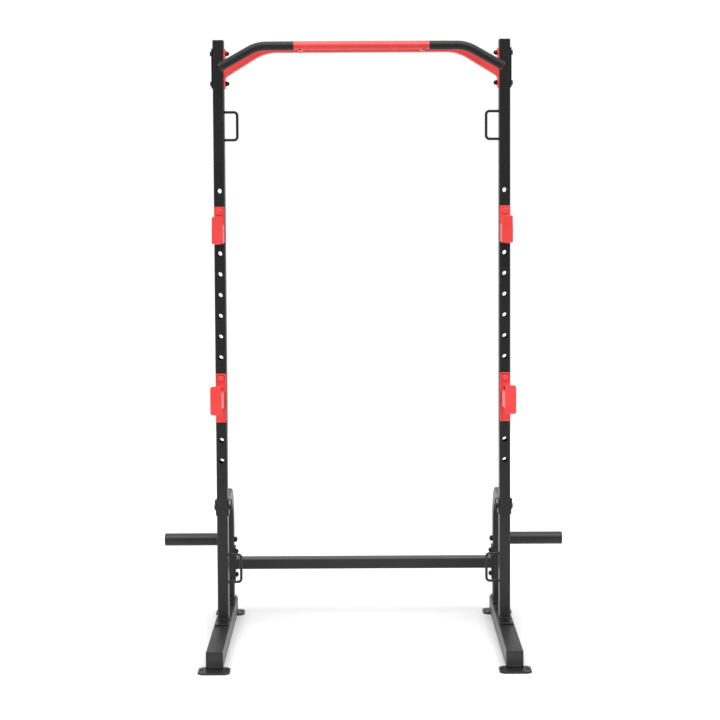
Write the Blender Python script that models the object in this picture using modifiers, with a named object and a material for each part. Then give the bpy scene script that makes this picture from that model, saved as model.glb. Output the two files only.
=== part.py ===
"""Free-standing half rack with a pull-up bar, J-hooks, spotter arms and plate storage posts.

Metres, +Z up, +Y to the rear. X = 0 is the mirror plane, the foot pads stand on Z = 0, and the
origin is the centre of the footprint. Distances along Y that start with a name from the list
below are measured from the uprights' front face, which lies at FACE_Y; minus is in front of it.
"""

import math

import bmesh
import bpy
from mathutils import Matrix, Vector

# Whole rack
HEIGHT = 2.200
SIDE_X = 0.520                  # centre plane of each side frame
FACE_Y = 0.0275                 # front face of the uprights
GAP = 0.0003                    # clearance between pieces that touch
SIDES = {"left": -1, "right": 1}

# Tube and plate stock
TUBE_WIDTH, TUBE_DEPTH, TUBE_WALL = 0.040, 0.060, 0.002
TUBE_CORNER = 0.005
CAP_THICKNESS, CAP_PLUG, CAP_INSET = 0.003, 0.014, 0.0005
PLATE = 0.005
WELD = 0.0005                   # how far welded pieces of one node run into each other
EDGE = 0.0015                   # chamfer on turned pieces
PLATE_CORNER = 0.005
PAST = 0.02                     # how far a cutter reaches past the piece it cuts
ROUND = 16                      # sides of a round piece
BORE = 10                       # sides of a drilled hole

# Base: skids, feet and flanges
SKID = 0.060
SKID_FRONT, SKID_REAR = -0.440, 0.400
PAD_THICKNESS, FOOT_THICKNESS = 0.003, 0.004
FOOT_WIDTH, FOOT_LENGTH, FOOT_CHAMFER = 0.110, 0.080, 0.014
FOOT_CENTRES = {"front": -0.455, "rear": 0.400}
FOOT_SLOT_X, FOOT_SLOT_LENGTH, FOOT_SLOT_RADIUS = 0.043, 0.018, 0.004
FLANGE_WIDTH, FLANGE_CORNER = 0.052, 0.006
UPRIGHT_FLANGE, UPRIGHT_FLANGE_BOLT = (-0.075, 0.064), -0.040
LEG_FLANGE, LEG_FLANGE_BOLT = (0.255, 0.394), 0.290

# Heights of the stacked base pieces
FOOT_Z = PAD_THICKNESS + GAP
SKID_Z = FOOT_Z + FOOT_THICKNESS
FLANGE_Z = SKID_Z + SKID + GAP
COLUMN_Z = FLANGE_Z + PLATE + GAP
COLUMN_TOP = HEIGHT - CAP_THICKNESS - GAP

# Adjustment holes in the uprights
HOLE_FIRST, HOLE_PITCH, HOLE_COUNT, HOLE_RADIUS = 0.662, 0.0762, 14, 0.009
J_HOOK_HOLE, SPOTTER_HOLE = 12, 4

# Rear leg, crossbar and storage posts
LEG_Y, LEG_BEND = 0.360, 0.120
BRACE_Z = 0.488
CLAMP_THICKNESS, CLAMP_FRONT, CLAMP_HEIGHT = 0.004, 0.004, 0.058
CROSSBAR_HEIGHT, CROSSBAR_DEPTH, CROSSBAR_Z = 0.040, 0.060, 0.208
CROSSBAR_PLATE_DEPTH, CROSSBAR_PLATE_HEIGHT = 0.056, 0.131
CROSSBAR_BOLT_DZ, CROSSBAR_VENT = 0.0455, 0.006
POST_Z, POST_RADIUS, POST_WALL, POST_TIP = 0.300, 0.024, 0.0025, 0.768
POST_BASE, POST_SIDES = 0.004, 18

# Pull-up assembly
BEAM_HEIGHT, BEAM_DEPTH, BEAM_Z = 0.040, 0.060, 2.174
BEAM_BEND_X, BEAM_SLOPE, BEAM_BEND_RADIUS = 0.355, math.radians(31.5), 0.170
PULL_UP_PLATE_HEIGHT, PULL_UP_PLATE_Z = 0.1445, 2.0968
PULL_UP_BOLT_DZ = 0.0545
BACKING = 0.004
BAR_RADIUS, BAR_Z, BAR_Y = 0.014, 2.170, -0.120
BAR_BEND_X, BAR_END_X, BAR_SLOPE, BAR_BEND_RADIUS = 0.372, 0.503, math.radians(29.5), 0.125
BAR_LEVEL = 5                   # bevel resolution of the front bar and its grips
GRIP_RADIUS, GRIP_START_X, GRIP_END = 0.016, 0.242, 0.002
LINK_X, LINK_RADIUS, LINK_Z = 0.220, 0.0125, 2.166

# Band loops
LOOP_ROD, LOOP_REACH, LOOP_BEND = 0.005, 0.046, 0.012
LOOP_LEGS = {"upper": (1.838, 1.939), "lower": (0.207, 0.309)}

# J-hook and spotter arm, from the pin's axis at the upright's front face
PIN_RADIUS, PIN_TAIL, PIN_HEAD_RADIUS, PIN_HEAD = 0.008, 0.072, 0.011, 0.007
PIN_SIDES = 12
HOOK_WIDTH, HOOK_PLATE_Z, HOOK_PLATE_CORNER = 0.038, (-0.1125, 0.0195), 0.003
HOOK_ARM_WIDTH, HOOK_ARM_Z, HOOK_ARM_WALL = 0.036, (-0.1115, -0.046), 0.004
HOOK_LIP_Y, HOOK_LIP_Z = -0.1205, (-0.1130, -0.0135)
HOOK_LIP_CHAMFER, HOOK_LIP_TOP_CHAMFER = 0.010, 0.004
SPOTTER_WIDTH, SPOTTER_PLATE_Z = 0.038, (-0.1605, 0.0187)
SPOTTER_BACK, SPOTTER_RIM, SPOTTER_RIM_WALL, SPOTTER_POCKET_CORNER = 0.004, 0.009, 0.003, 0.002
SPOTTER_ARM_WIDTH, SPOTTER_ARM_HEIGHT, SPOTTER_ARM_WALL = 0.026, 0.060, 0.002
SPOTTER_ARM_Z, SPOTTER_SLOPE = -0.0768, math.radians(5)
SPOTTER_LIP_WIDTH, SPOTTER_LIP_CORNER = 0.040, 0.009
SPOTTER_LIP_Y, SPOTTER_LIP_Z = -0.256, (-0.1013, 0.0009)
SPOTTER_SIGHT_Z, SPOTTER_SIGHT_RADIUS = -0.0395, 0.006
SPOTTER_VENT_Y, SPOTTER_VENT_RADIUS = -0.225, 0.004

# Fasteners: radius and width across flats
M10, M12 = (0.005, 0.017), (0.006, 0.019)
WASHER, BOLT_CLEARANCE, BOLT_STUB = 0.0015, 0.0007, 0.0025
HEAD_PER_RADIUS, NUT_PER_RADIUS, WASHER_PER_HEAD = 0.95, 1.6, 1.15


# Blender helpers

def clear_scene():
    for item in list(bpy.data.objects):
        bpy.data.objects.remove(item, do_unlink=True)


def new_collection(name):
    collection = bpy.data.collections.new(name)
    bpy.context.scene.collection.children.link(collection)
    return collection


def new_material(name, colour, roughness, metallic):
    material = bpy.data.materials.new(name)
    material.use_nodes = True
    shader = material.node_tree.nodes["Principled BSDF"]
    shader.inputs["Base Color"].default_value = (*colour, 1.0)
    shader.inputs["Roughness"].default_value = roughness
    shader.inputs["Metallic"].default_value = metallic
    return material


clear_scene()
PARTS = new_collection("power_cage")
CUTTERS = new_collection("cutters")
BLACK_COAT = new_material("black_powder_coat", (0.024, 0.025, 0.027), 0.45, 0.0)
RED_COAT = new_material("red_powder_coat", (0.83, 0.075, 0.085), 0.38, 0.0)
PLASTIC = new_material("black_plastic", (0.020, 0.020, 0.021), 0.55, 0.0)
RUBBER = new_material("black_rubber", (0.014, 0.014, 0.015), 0.80, 0.0)
BOLT_STEEL = new_material("black_bolt_steel", (0.045, 0.046, 0.050), 0.35, 1.0)
PIN_STEEL = new_material("red_coated_pin", (0.83, 0.075, 0.085), 0.38, 0.0)


def add_object(name, mesh, material, location=(0, 0, 0), rotation=(0, 0, 0), smooth=False):
    """Put a mesh in the part's collection under its node name."""
    item = bpy.data.objects.new(name, mesh)
    item.location = location
    item.rotation_euler = rotation
    mesh.materials.clear()
    mesh.materials.append(material)
    if smooth:
        mesh.shade_smooth()
        mesh.set_sharp_from_angle(angle=math.radians(35))
    PARTS.objects.link(item)
    return item


def boolean(target, tool_mesh, operation="DIFFERENCE"):
    """Cut or join a mesh, given in the target's own axes, with a live Boolean."""
    tool = bpy.data.objects.new(target.name + "_tool", tool_mesh)
    tool.parent = target
    tool.display_type = "WIRE"
    tool.hide_render = True
    CUTTERS.objects.link(tool)
    modifier = target.modifiers.new(operation.lower(), "BOOLEAN")
    modifier.operation = operation
    modifier.solver = "EXACT"
    modifier.object = tool


def evaluated_mesh(item):
    """The mesh of an object with its modifiers or curve settings applied."""
    bpy.context.view_layer.update()
    graph = bpy.context.evaluated_depsgraph_get()
    return bpy.data.meshes.new_from_object(item.evaluated_get(graph))


def combined(mesh, steps):
    """Mesh left by a list of (operation, tool mesh) Booleans."""
    item = bpy.data.objects.new("combined", mesh)
    CUTTERS.objects.link(item)
    for operation, tool in steps:
        boolean(item, tool, operation)
    result = evaluated_mesh(item)
    for tool in list(item.children):
        bpy.data.objects.remove(tool)
    bpy.data.objects.remove(item)
    return result


def finish_mesh(bm):
    mesh = bpy.data.meshes.new("shape")
    bm.to_mesh(mesh)
    bm.free()
    return mesh


def joined(meshes):
    """Several meshes as one, left as separate bodies."""
    bm = bmesh.new()
    for mesh in meshes:
        bm.from_mesh(mesh)
    return finish_mesh(bm)


def curve_mesh(curve):
    """Mesh of a curve, with its loose caps welded on."""
    guide = bpy.data.objects.new("guide", curve)
    CUTTERS.objects.link(guide)
    mesh = evaluated_mesh(guide)
    bpy.data.objects.remove(guide)
    bm = bmesh.new()
    bm.from_mesh(mesh)
    bmesh.ops.remove_doubles(bm, verts=bm.verts, dist=0.00001)
    bmesh.ops.recalc_face_normals(bm, faces=bm.faces)
    return finish_mesh(bm)


def add_spline(curve, points, closed):
    spline = curve.splines.new("POLY")
    spline.points.add(len(points) - 1)
    for target, point in zip(spline.points, points):
        target.co = (*point, *([0.0] * (3 - len(point))), 1.0)
    spline.use_cyclic_u = closed


# Shapes

def box(low, high):
    """Box between two corners."""
    low, high = Vector(low), Vector(high)
    bm = bmesh.new()
    bmesh.ops.create_cube(bm, size=1.0)
    bmesh.ops.scale(bm, vec=high - low, verts=bm.verts)
    bmesh.ops.translate(bm, vec=(low + high) / 2, verts=bm.verts)
    return finish_mesh(bm)


def cylinder(radius, start, end, sides=ROUND):
    """Cylinder between two points."""
    start, end = Vector(start), Vector(end)
    axis = end - start
    bm = bmesh.new()
    bmesh.ops.create_cone(bm, cap_ends=True, segments=sides, radius1=radius, radius2=radius,
                          depth=axis.length)
    turn = axis.to_track_quat("Z", "Y").to_matrix().to_4x4()
    bmesh.ops.transform(bm, matrix=Matrix.Translation((start + end) / 2) @ turn, verts=bm.verts)
    return finish_mesh(bm)


def round_rectangle(width, height, radius, steps=2):
    """Outline of a rectangle with round corners, anticlockwise."""
    points = []
    for quarter, (sx, sy) in enumerate(((1, 1), (-1, 1), (-1, -1), (1, -1))):
        for step in range(steps + 1):
            angle = (quarter + step / steps) * math.pi / 2
            points.append((sx * (width / 2 - radius) + radius * math.cos(angle),
                           sy * (height / 2 - radius) + radius * math.sin(angle)))
    return points


def prism(outlines, length):
    """Outlines in XY, outer one first, extruded along Z about Z = 0."""
    curve = bpy.data.curves.new("outline", "CURVE")
    curve.dimensions = "2D"
    curve.fill_mode = "BOTH"
    curve.extrude = length / 2
    for outline in outlines:
        add_spline(curve, outline, closed=True)
    return curve_mesh(curve)


def square_tube(width, height, wall, length):
    """Straight rectangular tube along Z with round corners, open at both ends."""
    outer = round_rectangle(width, height, TUBE_CORNER)
    inner = round_rectangle(width - 2 * wall, height - 2 * wall, TUBE_CORNER - wall)
    return prism([outer, inner], length)


def round_path(corners, radius, steps=6):
    """Straight runs between corners, joined by arcs of one radius."""
    corners = [Vector(corner) for corner in corners]
    points = [corners[0]]
    for before, corner, after in zip(corners, corners[1:], corners[2:]):
        back, ahead = (before - corner).normalized(), (after - corner).normalized()
        turn = math.pi - back.angle(ahead)
        tangent = radius * math.tan(turn / 2)
        centre = corner + (back + ahead).normalized() * radius / math.cos(turn / 2)
        first = corner + back * tangent - centre
        across = (corner + ahead * tangent - centre) - first * math.cos(turn)
        across = across.normalized() * radius
        for step in range(steps + 1):
            angle = turn * step / steps
            points.append(centre + first * math.cos(angle) + across * math.sin(angle))
    points.append(corners[-1])
    return points


def round_sweep(points, radius, sides_level, capped):
    """Round bar along a path; sides_level is the curve's bevel resolution."""
    curve = bpy.data.curves.new("sweep", "CURVE")
    curve.dimensions = "3D"
    curve.bevel_depth = radius
    curve.bevel_resolution = sides_level
    curve.use_fill_caps = capped
    add_spline(curve, points, closed=False)
    return curve_mesh(curve)


def section_sweep(points, width, height):
    """Open skin of a rectangular tube along a flat path in XY; width lies along Z."""
    section = bpy.data.curves.new("section", "CURVE")
    section.dimensions = "2D"
    add_spline(section, round_rectangle(height, width, TUBE_CORNER), closed=True)
    holder = bpy.data.objects.new("section", section)
    CUTTERS.objects.link(holder)
    curve = bpy.data.curves.new("sweep", "CURVE")
    curve.dimensions = "2D"
    curve.fill_mode = "NONE"
    curve.bevel_mode = "OBJECT"
    curve.bevel_object = holder
    add_spline(curve, points, closed=False)
    mesh = curve_mesh(curve)
    bpy.data.objects.remove(holder)
    return mesh


def hollow(item, wall):
    """Give an open skin its wall thickness, inwards."""
    modifier = item.modifiers.new("wall", "SOLIDIFY")
    modifier.thickness = wall
    modifier.offset = -1
    modifier.use_even_offset = True


def turned(profile, name, material, location, rotation, sides):
    """Closed (radius, height) profile turned about the object's Z axis."""
    bm = bmesh.new()
    verts = [bm.verts.new((radius, 0, height)) for radius, height in profile]
    for first, second in zip(verts, verts[1:]):
        bm.edges.new((first, second))
    if profile[0][0] > 0:
        bm.edges.new((verts[-1], verts[0]))
    item = add_object(name, finish_mesh(bm), material, location, rotation)
    screw = item.modifiers.new("turn", "SCREW")
    screw.steps = screw.render_steps = sides
    screw.use_merge_vertices = True
    screw.merge_threshold = 0.00001
    return item


# Base

def base_skid(side, x):
    """Skid tube with a foot plate welded under each end."""
    middle = FACE_Y + (SKID_FRONT + SKID_REAR) / 2
    length = SKID_REAR - SKID_FRONT - 2 * (CAP_THICKNESS + GAP)
    tube = square_tube(SKID, SKID, TUBE_WALL, length)
    tube.transform(Matrix.Rotation(math.pi / 2, 4, "X"))
    item = add_object(f"{side}_base_skid", tube, BLACK_COAT, (x, middle, SKID_Z + SKID / 2))
    thickness = FOOT_THICKNESS + CAP_INSET / 2
    plates = []
    for centre in FOOT_CENTRES.values():
        plate = foot_shape(thickness)
        drop = FOOT_Z + thickness / 2 - SKID_Z - SKID / 2
        plate.transform(Matrix.Translation((0, FACE_Y + centre - middle, drop)))
        plates.append(plate)
    boolean(item, joined(plates), "UNION")
    drills = []
    for y in (UPRIGHT_FLANGE_BOLT, LEG_FLANGE_BOLT):
        along = FACE_Y + y - middle
        drills.append(cylinder(M10[0] + BOLT_CLEARANCE, (0, along, SKID / 4), (0, along, SKID), BORE))
    boolean(item, joined(drills))


def foot_outline():
    """Rectangle with its four corners cut off."""
    half_w, half_l, cut = FOOT_WIDTH / 2, FOOT_LENGTH / 2, FOOT_CHAMFER
    quarter = ((half_w, half_l - cut), (half_w - cut, half_l))
    outline = []
    for sx, sy in ((1, 1), (-1, 1), (-1, -1), (1, -1)):
        corner = [(sx * px, sy * py) for px, py in quarter]
        outline += corner if sx * sy > 0 else corner[::-1]
    return outline


def foot_shape(thickness):
    """Foot outline with a floor-anchor slot on each side of the skid."""
    slot = round_rectangle(2 * FOOT_SLOT_RADIUS, FOOT_SLOT_LENGTH, 0.999 * FOOT_SLOT_RADIUS)
    slots = [[(centre + px, py) for px, py in slot] for centre in (-FOOT_SLOT_X, FOOT_SLOT_X)]
    return prism([foot_outline(), *slots], thickness)


def foot_pads(side, x):
    for end, centre in FOOT_CENTRES.items():
        add_object(f"{side}_{end}_foot_pad", foot_shape(PAD_THICKNESS), RUBBER,
                   (x, FACE_Y + centre, PAD_THICKNESS / 2))


def tube_cap(name, width, depth, location, rotation):
    """Plastic cap: a flat lid on local +Z and a plug that sits in the tube."""
    inset = 2 * CAP_INSET
    lid = prism([round_rectangle(width - inset, depth - inset, TUBE_CORNER)], CAP_THICKNESS)
    slack = 2 * (TUBE_WALL + GAP)
    plug_outline = round_rectangle(width - slack, depth - slack, TUBE_CORNER - TUBE_WALL)
    plug = prism([plug_outline], CAP_PLUG)
    plug.transform(Matrix.Translation((0, 0, -CAP_PLUG / 2)))
    add_object(name, combined(lid, [("UNION", plug)]), PLASTIC, location, rotation)


def skid_caps(side, x):
    for end, edge, lean in (("front", SKID_FRONT, math.pi / 2), ("rear", SKID_REAR, -math.pi / 2)):
        inset = CAP_THICKNESS / 2 if end == "front" else -CAP_THICKNESS / 2
        tube_cap(f"{side}_{end}_skid_cap", SKID, SKID,
                 (x, FACE_Y + edge + inset, SKID_Z + SKID / 2), (lean, 0, 0))


def flange_plate(span):
    """Foot plate of a column, lying flat about Z = 0, along Y over its span."""
    start, end = span
    plate = prism([round_rectangle(FLANGE_WIDTH, end - start, FLANGE_CORNER)], PLATE)
    plate.transform(Matrix.Translation((0, (start + end) / 2, 0)))
    return plate


def upright_flange(side, x):
    item = add_object(f"{side}_upright_flange", flange_plate(UPRIGHT_FLANGE), BLACK_COAT,
                      (x, FACE_Y, FLANGE_Z + PLATE / 2))
    y = UPRIGHT_FLANGE_BOLT
    boolean(item, cylinder(M10[0] + BOLT_CLEARANCE, (0, y, -PLATE), (0, y, PLATE), BORE))


# Side frame

def upright(side, x):
    length = COLUMN_TOP - COLUMN_Z
    middle_z = (COLUMN_TOP + COLUMN_Z) / 2
    tube = square_tube(TUBE_WIDTH, TUBE_DEPTH, TUBE_WALL, length)
    item = add_object(f"{side}_upright", tube, BLACK_COAT, (x, FACE_Y + TUBE_DEPTH / 2, middle_z))
    drills = []
    for index in range(HOLE_COUNT):
        z = HOLE_FIRST + index * HOLE_PITCH - middle_z
        drills.append(cylinder(HOLE_RADIUS, (0, -TUBE_DEPTH, z), (0, TUBE_DEPTH, z), BORE))
    bolt_heights = [BRACE_Z]
    bolt_heights += [PULL_UP_PLATE_Z + sign * PULL_UP_BOLT_DZ for sign in (-1, 1)]
    for height in bolt_heights:
        z = height - middle_z
        drills.append(cylinder(M10[0] + BOLT_CLEARANCE, (-TUBE_WIDTH, 0, z), (TUBE_WIDTH, 0, z), BORE))
    boolean(item, joined(drills))
    tube_cap(f"{side}_upright_cap", TUBE_WIDTH, TUBE_DEPTH,
             (x, FACE_Y + TUBE_DEPTH / 2, HEIGHT - CAP_THICKNESS / 2), (0, 0, 0))


def rear_leg(side, x):
    """Column on the skid that bends forward into a brace, with its flange and clamp welded on."""
    brace_end = TUBE_DEPTH + GAP + CLAMP_THICKNESS - WELD
    corners = [(LEG_Y, FLANGE_Z + PLATE - WELD), (LEG_Y, BRACE_Z), (brace_end, BRACE_Z)]
    skin = section_sweep(round_path(corners, LEG_BEND, 6), TUBE_WIDTH, TUBE_DEPTH)
    skin.transform(Matrix(((0, 0, 1, 0), (1, 0, 0, 0), (0, 1, 0, 0), (0, 0, 0, 1))))
    item = add_object(f"{side}_rear_leg", skin, BLACK_COAT, (x, FACE_Y, 0))
    hollow(item, TUBE_WALL)
    foot = flange_plate(LEG_FLANGE)
    foot.transform(Matrix.Translation((0, 0, FLANGE_Z + PLATE / 2)))
    boolean(item, joined([foot, clamp_bracket()]), "UNION")
    across = [(POST_Z, LEG_Y, M12[0]), (BRACE_Z, TUBE_DEPTH / 2, M10[0])]
    across += [(CROSSBAR_Z + dz, LEG_Y, M10[0]) for dz in (-CROSSBAR_BOLT_DZ, CROSSBAR_BOLT_DZ)]
    reach = TUBE_WIDTH
    drills = [cylinder(radius + BOLT_CLEARANCE, (-reach, y, z), (reach, y, z), BORE)
              for z, y, radius in across]
    y, z = LEG_FLANGE_BOLT, FLANGE_Z
    drills.append(cylinder(M10[0] + BOLT_CLEARANCE, (0, y, z - PLATE), (0, y, z + 2 * PLATE), BORE))
    boolean(item, joined(drills))


def clamp_bracket():
    """U-shaped bracket on the end of the brace, whose ears hold the upright."""
    inner = TUBE_WIDTH / 2 + GAP
    outer = inner + CLAMP_THICKNESS
    back = TUBE_DEPTH + GAP
    outline = [(-outer, CLAMP_FRONT), (-inner, CLAMP_FRONT), (-inner, back), (inner, back),
               (inner, CLAMP_FRONT), (outer, CLAMP_FRONT), (outer, back + CLAMP_THICKNESS),
               (-outer, back + CLAMP_THICKNESS)]
    bracket = prism([outline], CLAMP_HEIGHT)
    bracket.transform(Matrix.Translation((0, 0, BRACE_Z)))
    return bracket


def storage_post(side, sign):
    """Round post for weight plates, with a closed base that bolts to the rear leg."""
    start = SIDE_X + TUBE_WIDTH / 2 + GAP
    length = POST_TIP - CAP_THICKNESS - GAP - start
    bore, hole = POST_RADIUS - POST_WALL, M12[0] + BOLT_CLEARANCE
    profile = [(POST_RADIUS, length), (POST_RADIUS, 0), (hole, 0), (hole, POST_BASE),
               (bore, POST_BASE), (bore, length)]
    facing = (0, sign * math.pi / 2, 0)
    turned(profile, f"{side}_storage_post", BLACK_COAT,
           (sign * start, FACE_Y + LEG_Y, POST_Z), facing, POST_SIDES)
    plug = bore - GAP
    cap = [(0, CAP_THICKNESS), (POST_RADIUS - EDGE, CAP_THICKNESS),
           (POST_RADIUS, CAP_THICKNESS - EDGE), (POST_RADIUS, 0), (plug, 0), (plug, -CAP_PLUG),
           (0, -CAP_PLUG)]
    turned(cap, f"{side}_storage_post_cap", PLASTIC,
           (sign * (POST_TIP - CAP_THICKNESS), FACE_Y + LEG_Y, POST_Z), facing, POST_SIDES)


def band_loops(side, sign):
    """Rod loops on the upright's inner face, for bands."""
    face_x = SIDE_X - TUBE_WIDTH / 2 - GAP
    for level, (low, high) in LOOP_LEGS.items():
        tip = face_x - LOOP_REACH
        corners = [(face_x, 0, low), (tip, 0, low), (tip, 0, high), (face_x, 0, high)]
        corners = [(sign * px, py, pz) for px, py, pz in corners]
        add_object(f"{side}_{level}_band_loop",
                   round_sweep(round_path(corners, LOOP_BEND, 4), LOOP_ROD, 2, True),
                   BLACK_COAT, (0, FACE_Y + TUBE_DEPTH / 2, 0), smooth=True)


# Rear crossbar

def crossbar():
    """Crossbar with a bolted plate welded on each end."""
    plate_x = SIDE_X - TUBE_WIDTH / 2 - GAP - PLATE / 2
    length = 2 * (plate_x - PLATE / 2 + WELD)
    tube = square_tube(CROSSBAR_HEIGHT, CROSSBAR_DEPTH, TUBE_WALL, length)
    item = add_object("rear_crossbar", tube, BLACK_COAT,
                      (0, FACE_Y + LEG_Y, CROSSBAR_Z), (0, math.pi / 2, 0))
    plates = []
    for along in (-plate_x, plate_x):
        plate = drilled_plate(CROSSBAR_PLATE_HEIGHT, CROSSBAR_PLATE_DEPTH, PLATE, CROSSBAR_BOLT_DZ)
        plate.transform(Matrix.Translation((0, 0, along)))
        plates.append(plate)
    boolean(item, joined(plates), "UNION")
    boolean(item, cylinder(CROSSBAR_VENT, (0, 0, -length), (0, 0, length), BORE))


def drilled_plate(height, depth, thickness, bolt_dz):
    """Plate across local Z, its height along X, with a bolt hole above and below its middle."""
    plate = prism([round_rectangle(height, depth, PLATE_CORNER)], thickness)
    drills = [cylinder(M10[0] + BOLT_CLEARANCE, (offset, 0, -thickness), (offset, 0, thickness), BORE)
              for offset in (-bolt_dz, bolt_dz)]
    return combined(plate, [("DIFFERENCE", joined(drills))])


# Pull-up assembly

def pull_up_beam():
    """Rear beam: level in the middle, sloping to the plates, with two links to the front bar."""
    half = SIDE_X - TUBE_WIDTH / 2 - PLATE - 2 * GAP
    past = half + BEAM_HEIGHT
    drop = (past - BEAM_BEND_X) * math.tan(BEAM_SLOPE)
    corners = [(-past, -drop), (-BEAM_BEND_X, 0), (BEAM_BEND_X, 0), (past, -drop)]
    skin = section_sweep(round_path(corners, BEAM_BEND_RADIUS, 4), BEAM_DEPTH, BEAM_HEIGHT)
    skin.transform(Matrix.Rotation(math.pi / 2, 4, "X"))
    item = add_object("pull_up_beam", skin, RED_COAT, (0, FACE_Y + BEAM_DEPTH / 2, BEAM_Z))
    hollow(item, TUBE_WALL)
    inner, outer = half, past + BEAM_HEIGHT
    deep, tall = BEAM_DEPTH, 2 * BEAM_HEIGHT + drop
    trims = [box((inner, -deep, -tall), (outer, deep, tall)),
             box((-outer, -deep, -tall), (-inner, deep, tall))]
    boolean(item, joined(trims))
    boolean(item, joined([bar_link(sign) for sign in SIDES.values()]), "UNION")


def bar_link(sign):
    """Short round bar from the beam's front face to the front bar, hollowed to fit it."""
    x, z = sign * LINK_X, LINK_Z - BEAM_Z
    front, back = BAR_Y - BEAM_DEPTH / 2, WELD - BEAM_DEPTH / 2
    rod = cylinder(LINK_RADIUS, (x, front, z), (x, back, z))
    seat_z = BAR_Z - BEAM_Z
    reach = LINK_RADIUS + PAST
    seat = cylinder(BAR_RADIUS + GAP, (x - reach, front, seat_z), (x + reach, front, seat_z),
                    2 * ROUND)
    return combined(rod, [("DIFFERENCE", seat)])


def pull_up_plates():
    y = FACE_Y + TUBE_DEPTH / 2
    half = TUBE_WIDTH / 2 + GAP
    for side, sign in SIDES.items():
        for name, x, thickness, material in (
                ("pull_up_plate", SIDE_X - half - PLATE / 2, PLATE, RED_COAT),
                ("backing_plate", SIDE_X + half + BACKING / 2, BACKING, BLACK_COAT)):
            plate = drilled_plate(PULL_UP_PLATE_HEIGHT, TUBE_DEPTH, thickness, PULL_UP_BOLT_DZ)
            add_object(f"{side}_{name}", plate, material, (sign * x, y, PULL_UP_PLATE_Z),
                       (0, math.pi / 2, 0))


def bar_corners(start_x, end_x):
    """Corners of the front bar's centre line on the +X side."""
    drop = (end_x - BAR_BEND_X) * math.tan(BAR_SLOPE)
    return [(start_x, 0, 0), (BAR_BEND_X, 0, 0), (end_x, 0, -drop)]


def front_bar():
    right = round_path(bar_corners(0, BAR_END_X), BAR_BEND_RADIUS, 5)[1:]
    left = [Vector((-point.x, point.y, point.z)) for point in reversed(right)]
    item = add_object("pull_up_front_bar", round_sweep(left + right, BAR_RADIUS, BAR_LEVEL, False),
                      RED_COAT, (0, FACE_Y + BAR_Y, BAR_Z), smooth=True)
    hollow(item, TUBE_WALL)


def grips():
    """Rubber sleeves over the sloping ends of the front bar, closed at the tip."""
    along = math.cos(BAR_SLOPE)
    bore_end = BAR_END_X + GAP * along
    sleeve_end = bore_end + GRIP_END * along
    for side, sign in SIDES.items():
        paths = []
        for start_x, end_x in ((GRIP_START_X, sleeve_end), (GRIP_START_X - PAST, bore_end)):
            path = round_path(bar_corners(start_x, end_x), BAR_BEND_RADIUS, 5)
            paths.append([(sign * point.x, point.y, point.z) for point in path])
        item = add_object(f"{side}_pull_up_grip",
                          round_sweep(paths[0], GRIP_RADIUS, BAR_LEVEL, True),
                          RUBBER, (0, FACE_Y + BAR_Y, BAR_Z), smooth=True)
        boolean(item, round_sweep(paths[1], BAR_RADIUS + GAP, BAR_LEVEL, True))


# Adjustable J-hooks and spotter arms

def slide_empty(name, sign, hole):
    """Empty on the pin's axis, at the upright's front face."""
    empty = bpy.data.objects.new(name, None)
    empty.location = (sign * SIDE_X, FACE_Y, HOLE_FIRST + hole * HOLE_PITCH)
    PARTS.objects.link(empty)
    return empty


def vertical_plate(outline, thickness, front_y):
    """Outline in (x, z) made a plate that faces -Y, its front at front_y."""
    plate = prism([outline], thickness)
    plate.transform(Matrix.Rotation(math.pi / 2, 4, "X"))
    plate.transform(Matrix.Translation((0, front_y + thickness / 2, 0)))
    return plate


def plate_outline(width, z_range, radius):
    low, high = z_range
    middle = (low + high) / 2
    return [(px, middle + pz) for px, pz in round_rectangle(width, high - low, radius)]


def lip_outline(width, z_range, chamfer, top):
    """Lip with cut lower corners and slightly cut upper ones."""
    half = width / 2
    low, high = z_range
    return [(half - chamfer, low), (half, low + chamfer), (half, high - top), (half - top, high),
            (top - half, high), (-half, high - top), (-half, low + chamfer), (chamfer - half, low)]


def pin(name, parent, back):
    """Locating pin through both walls of the upright, with its round head in front."""
    head_back = back + GAP
    head_front = head_back + PIN_HEAD
    profile = [(0, head_front), (PIN_HEAD_RADIUS - EDGE, head_front),
               (PIN_HEAD_RADIUS, head_front - EDGE), (PIN_HEAD_RADIUS, head_back),
               (PIN_RADIUS, head_back), (PIN_RADIUS, 2 * EDGE - PIN_TAIL),
               (PIN_RADIUS - 2 * EDGE, -PIN_TAIL), (0, -PIN_TAIL)]
    item = turned(profile, name, PIN_STEEL, (0, 0, 0), (math.pi / 2, 0, 0), PIN_SIDES)
    item.parent = parent


def j_hook(side, sign):
    parent = slide_empty(f"{side}_j_hook_slide", sign, J_HOOK_HOLE)
    plate = vertical_plate(plate_outline(HOOK_WIDTH, HOOK_PLATE_Z, HOOK_PLATE_CORNER),
                           PLATE, -GAP - PLATE)
    low, high = HOOK_ARM_Z
    half = HOOK_ARM_WIDTH / 2
    wall = HOOK_ARM_WALL
    channel = [(-half, low), (-half, high), (half, high), (half, low), (half - wall, low),
               (half - wall, high - wall), (wall - half, high - wall), (wall - half, low)]
    arm_front, arm_back = HOOK_LIP_Y + PLATE / 2, -GAP - PLATE / 2
    arm = vertical_plate(channel, arm_back - arm_front, arm_front)
    lip = vertical_plate(lip_outline(HOOK_WIDTH, HOOK_LIP_Z, HOOK_LIP_CHAMFER,
                                     HOOK_LIP_TOP_CHAMFER), PLATE, HOOK_LIP_Y)
    hole = cylinder(PIN_RADIUS + GAP, (0, -PAST, 0), (0, PAST, 0))
    item = add_object(f"{side}_j_hook", combined(plate, [("UNION", arm), ("UNION", lip),
                                                         ("DIFFERENCE", hole)]), RED_COAT)
    item.parent = parent
    pin(f"{side}_j_hook_pin", parent, GAP + PLATE)


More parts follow.
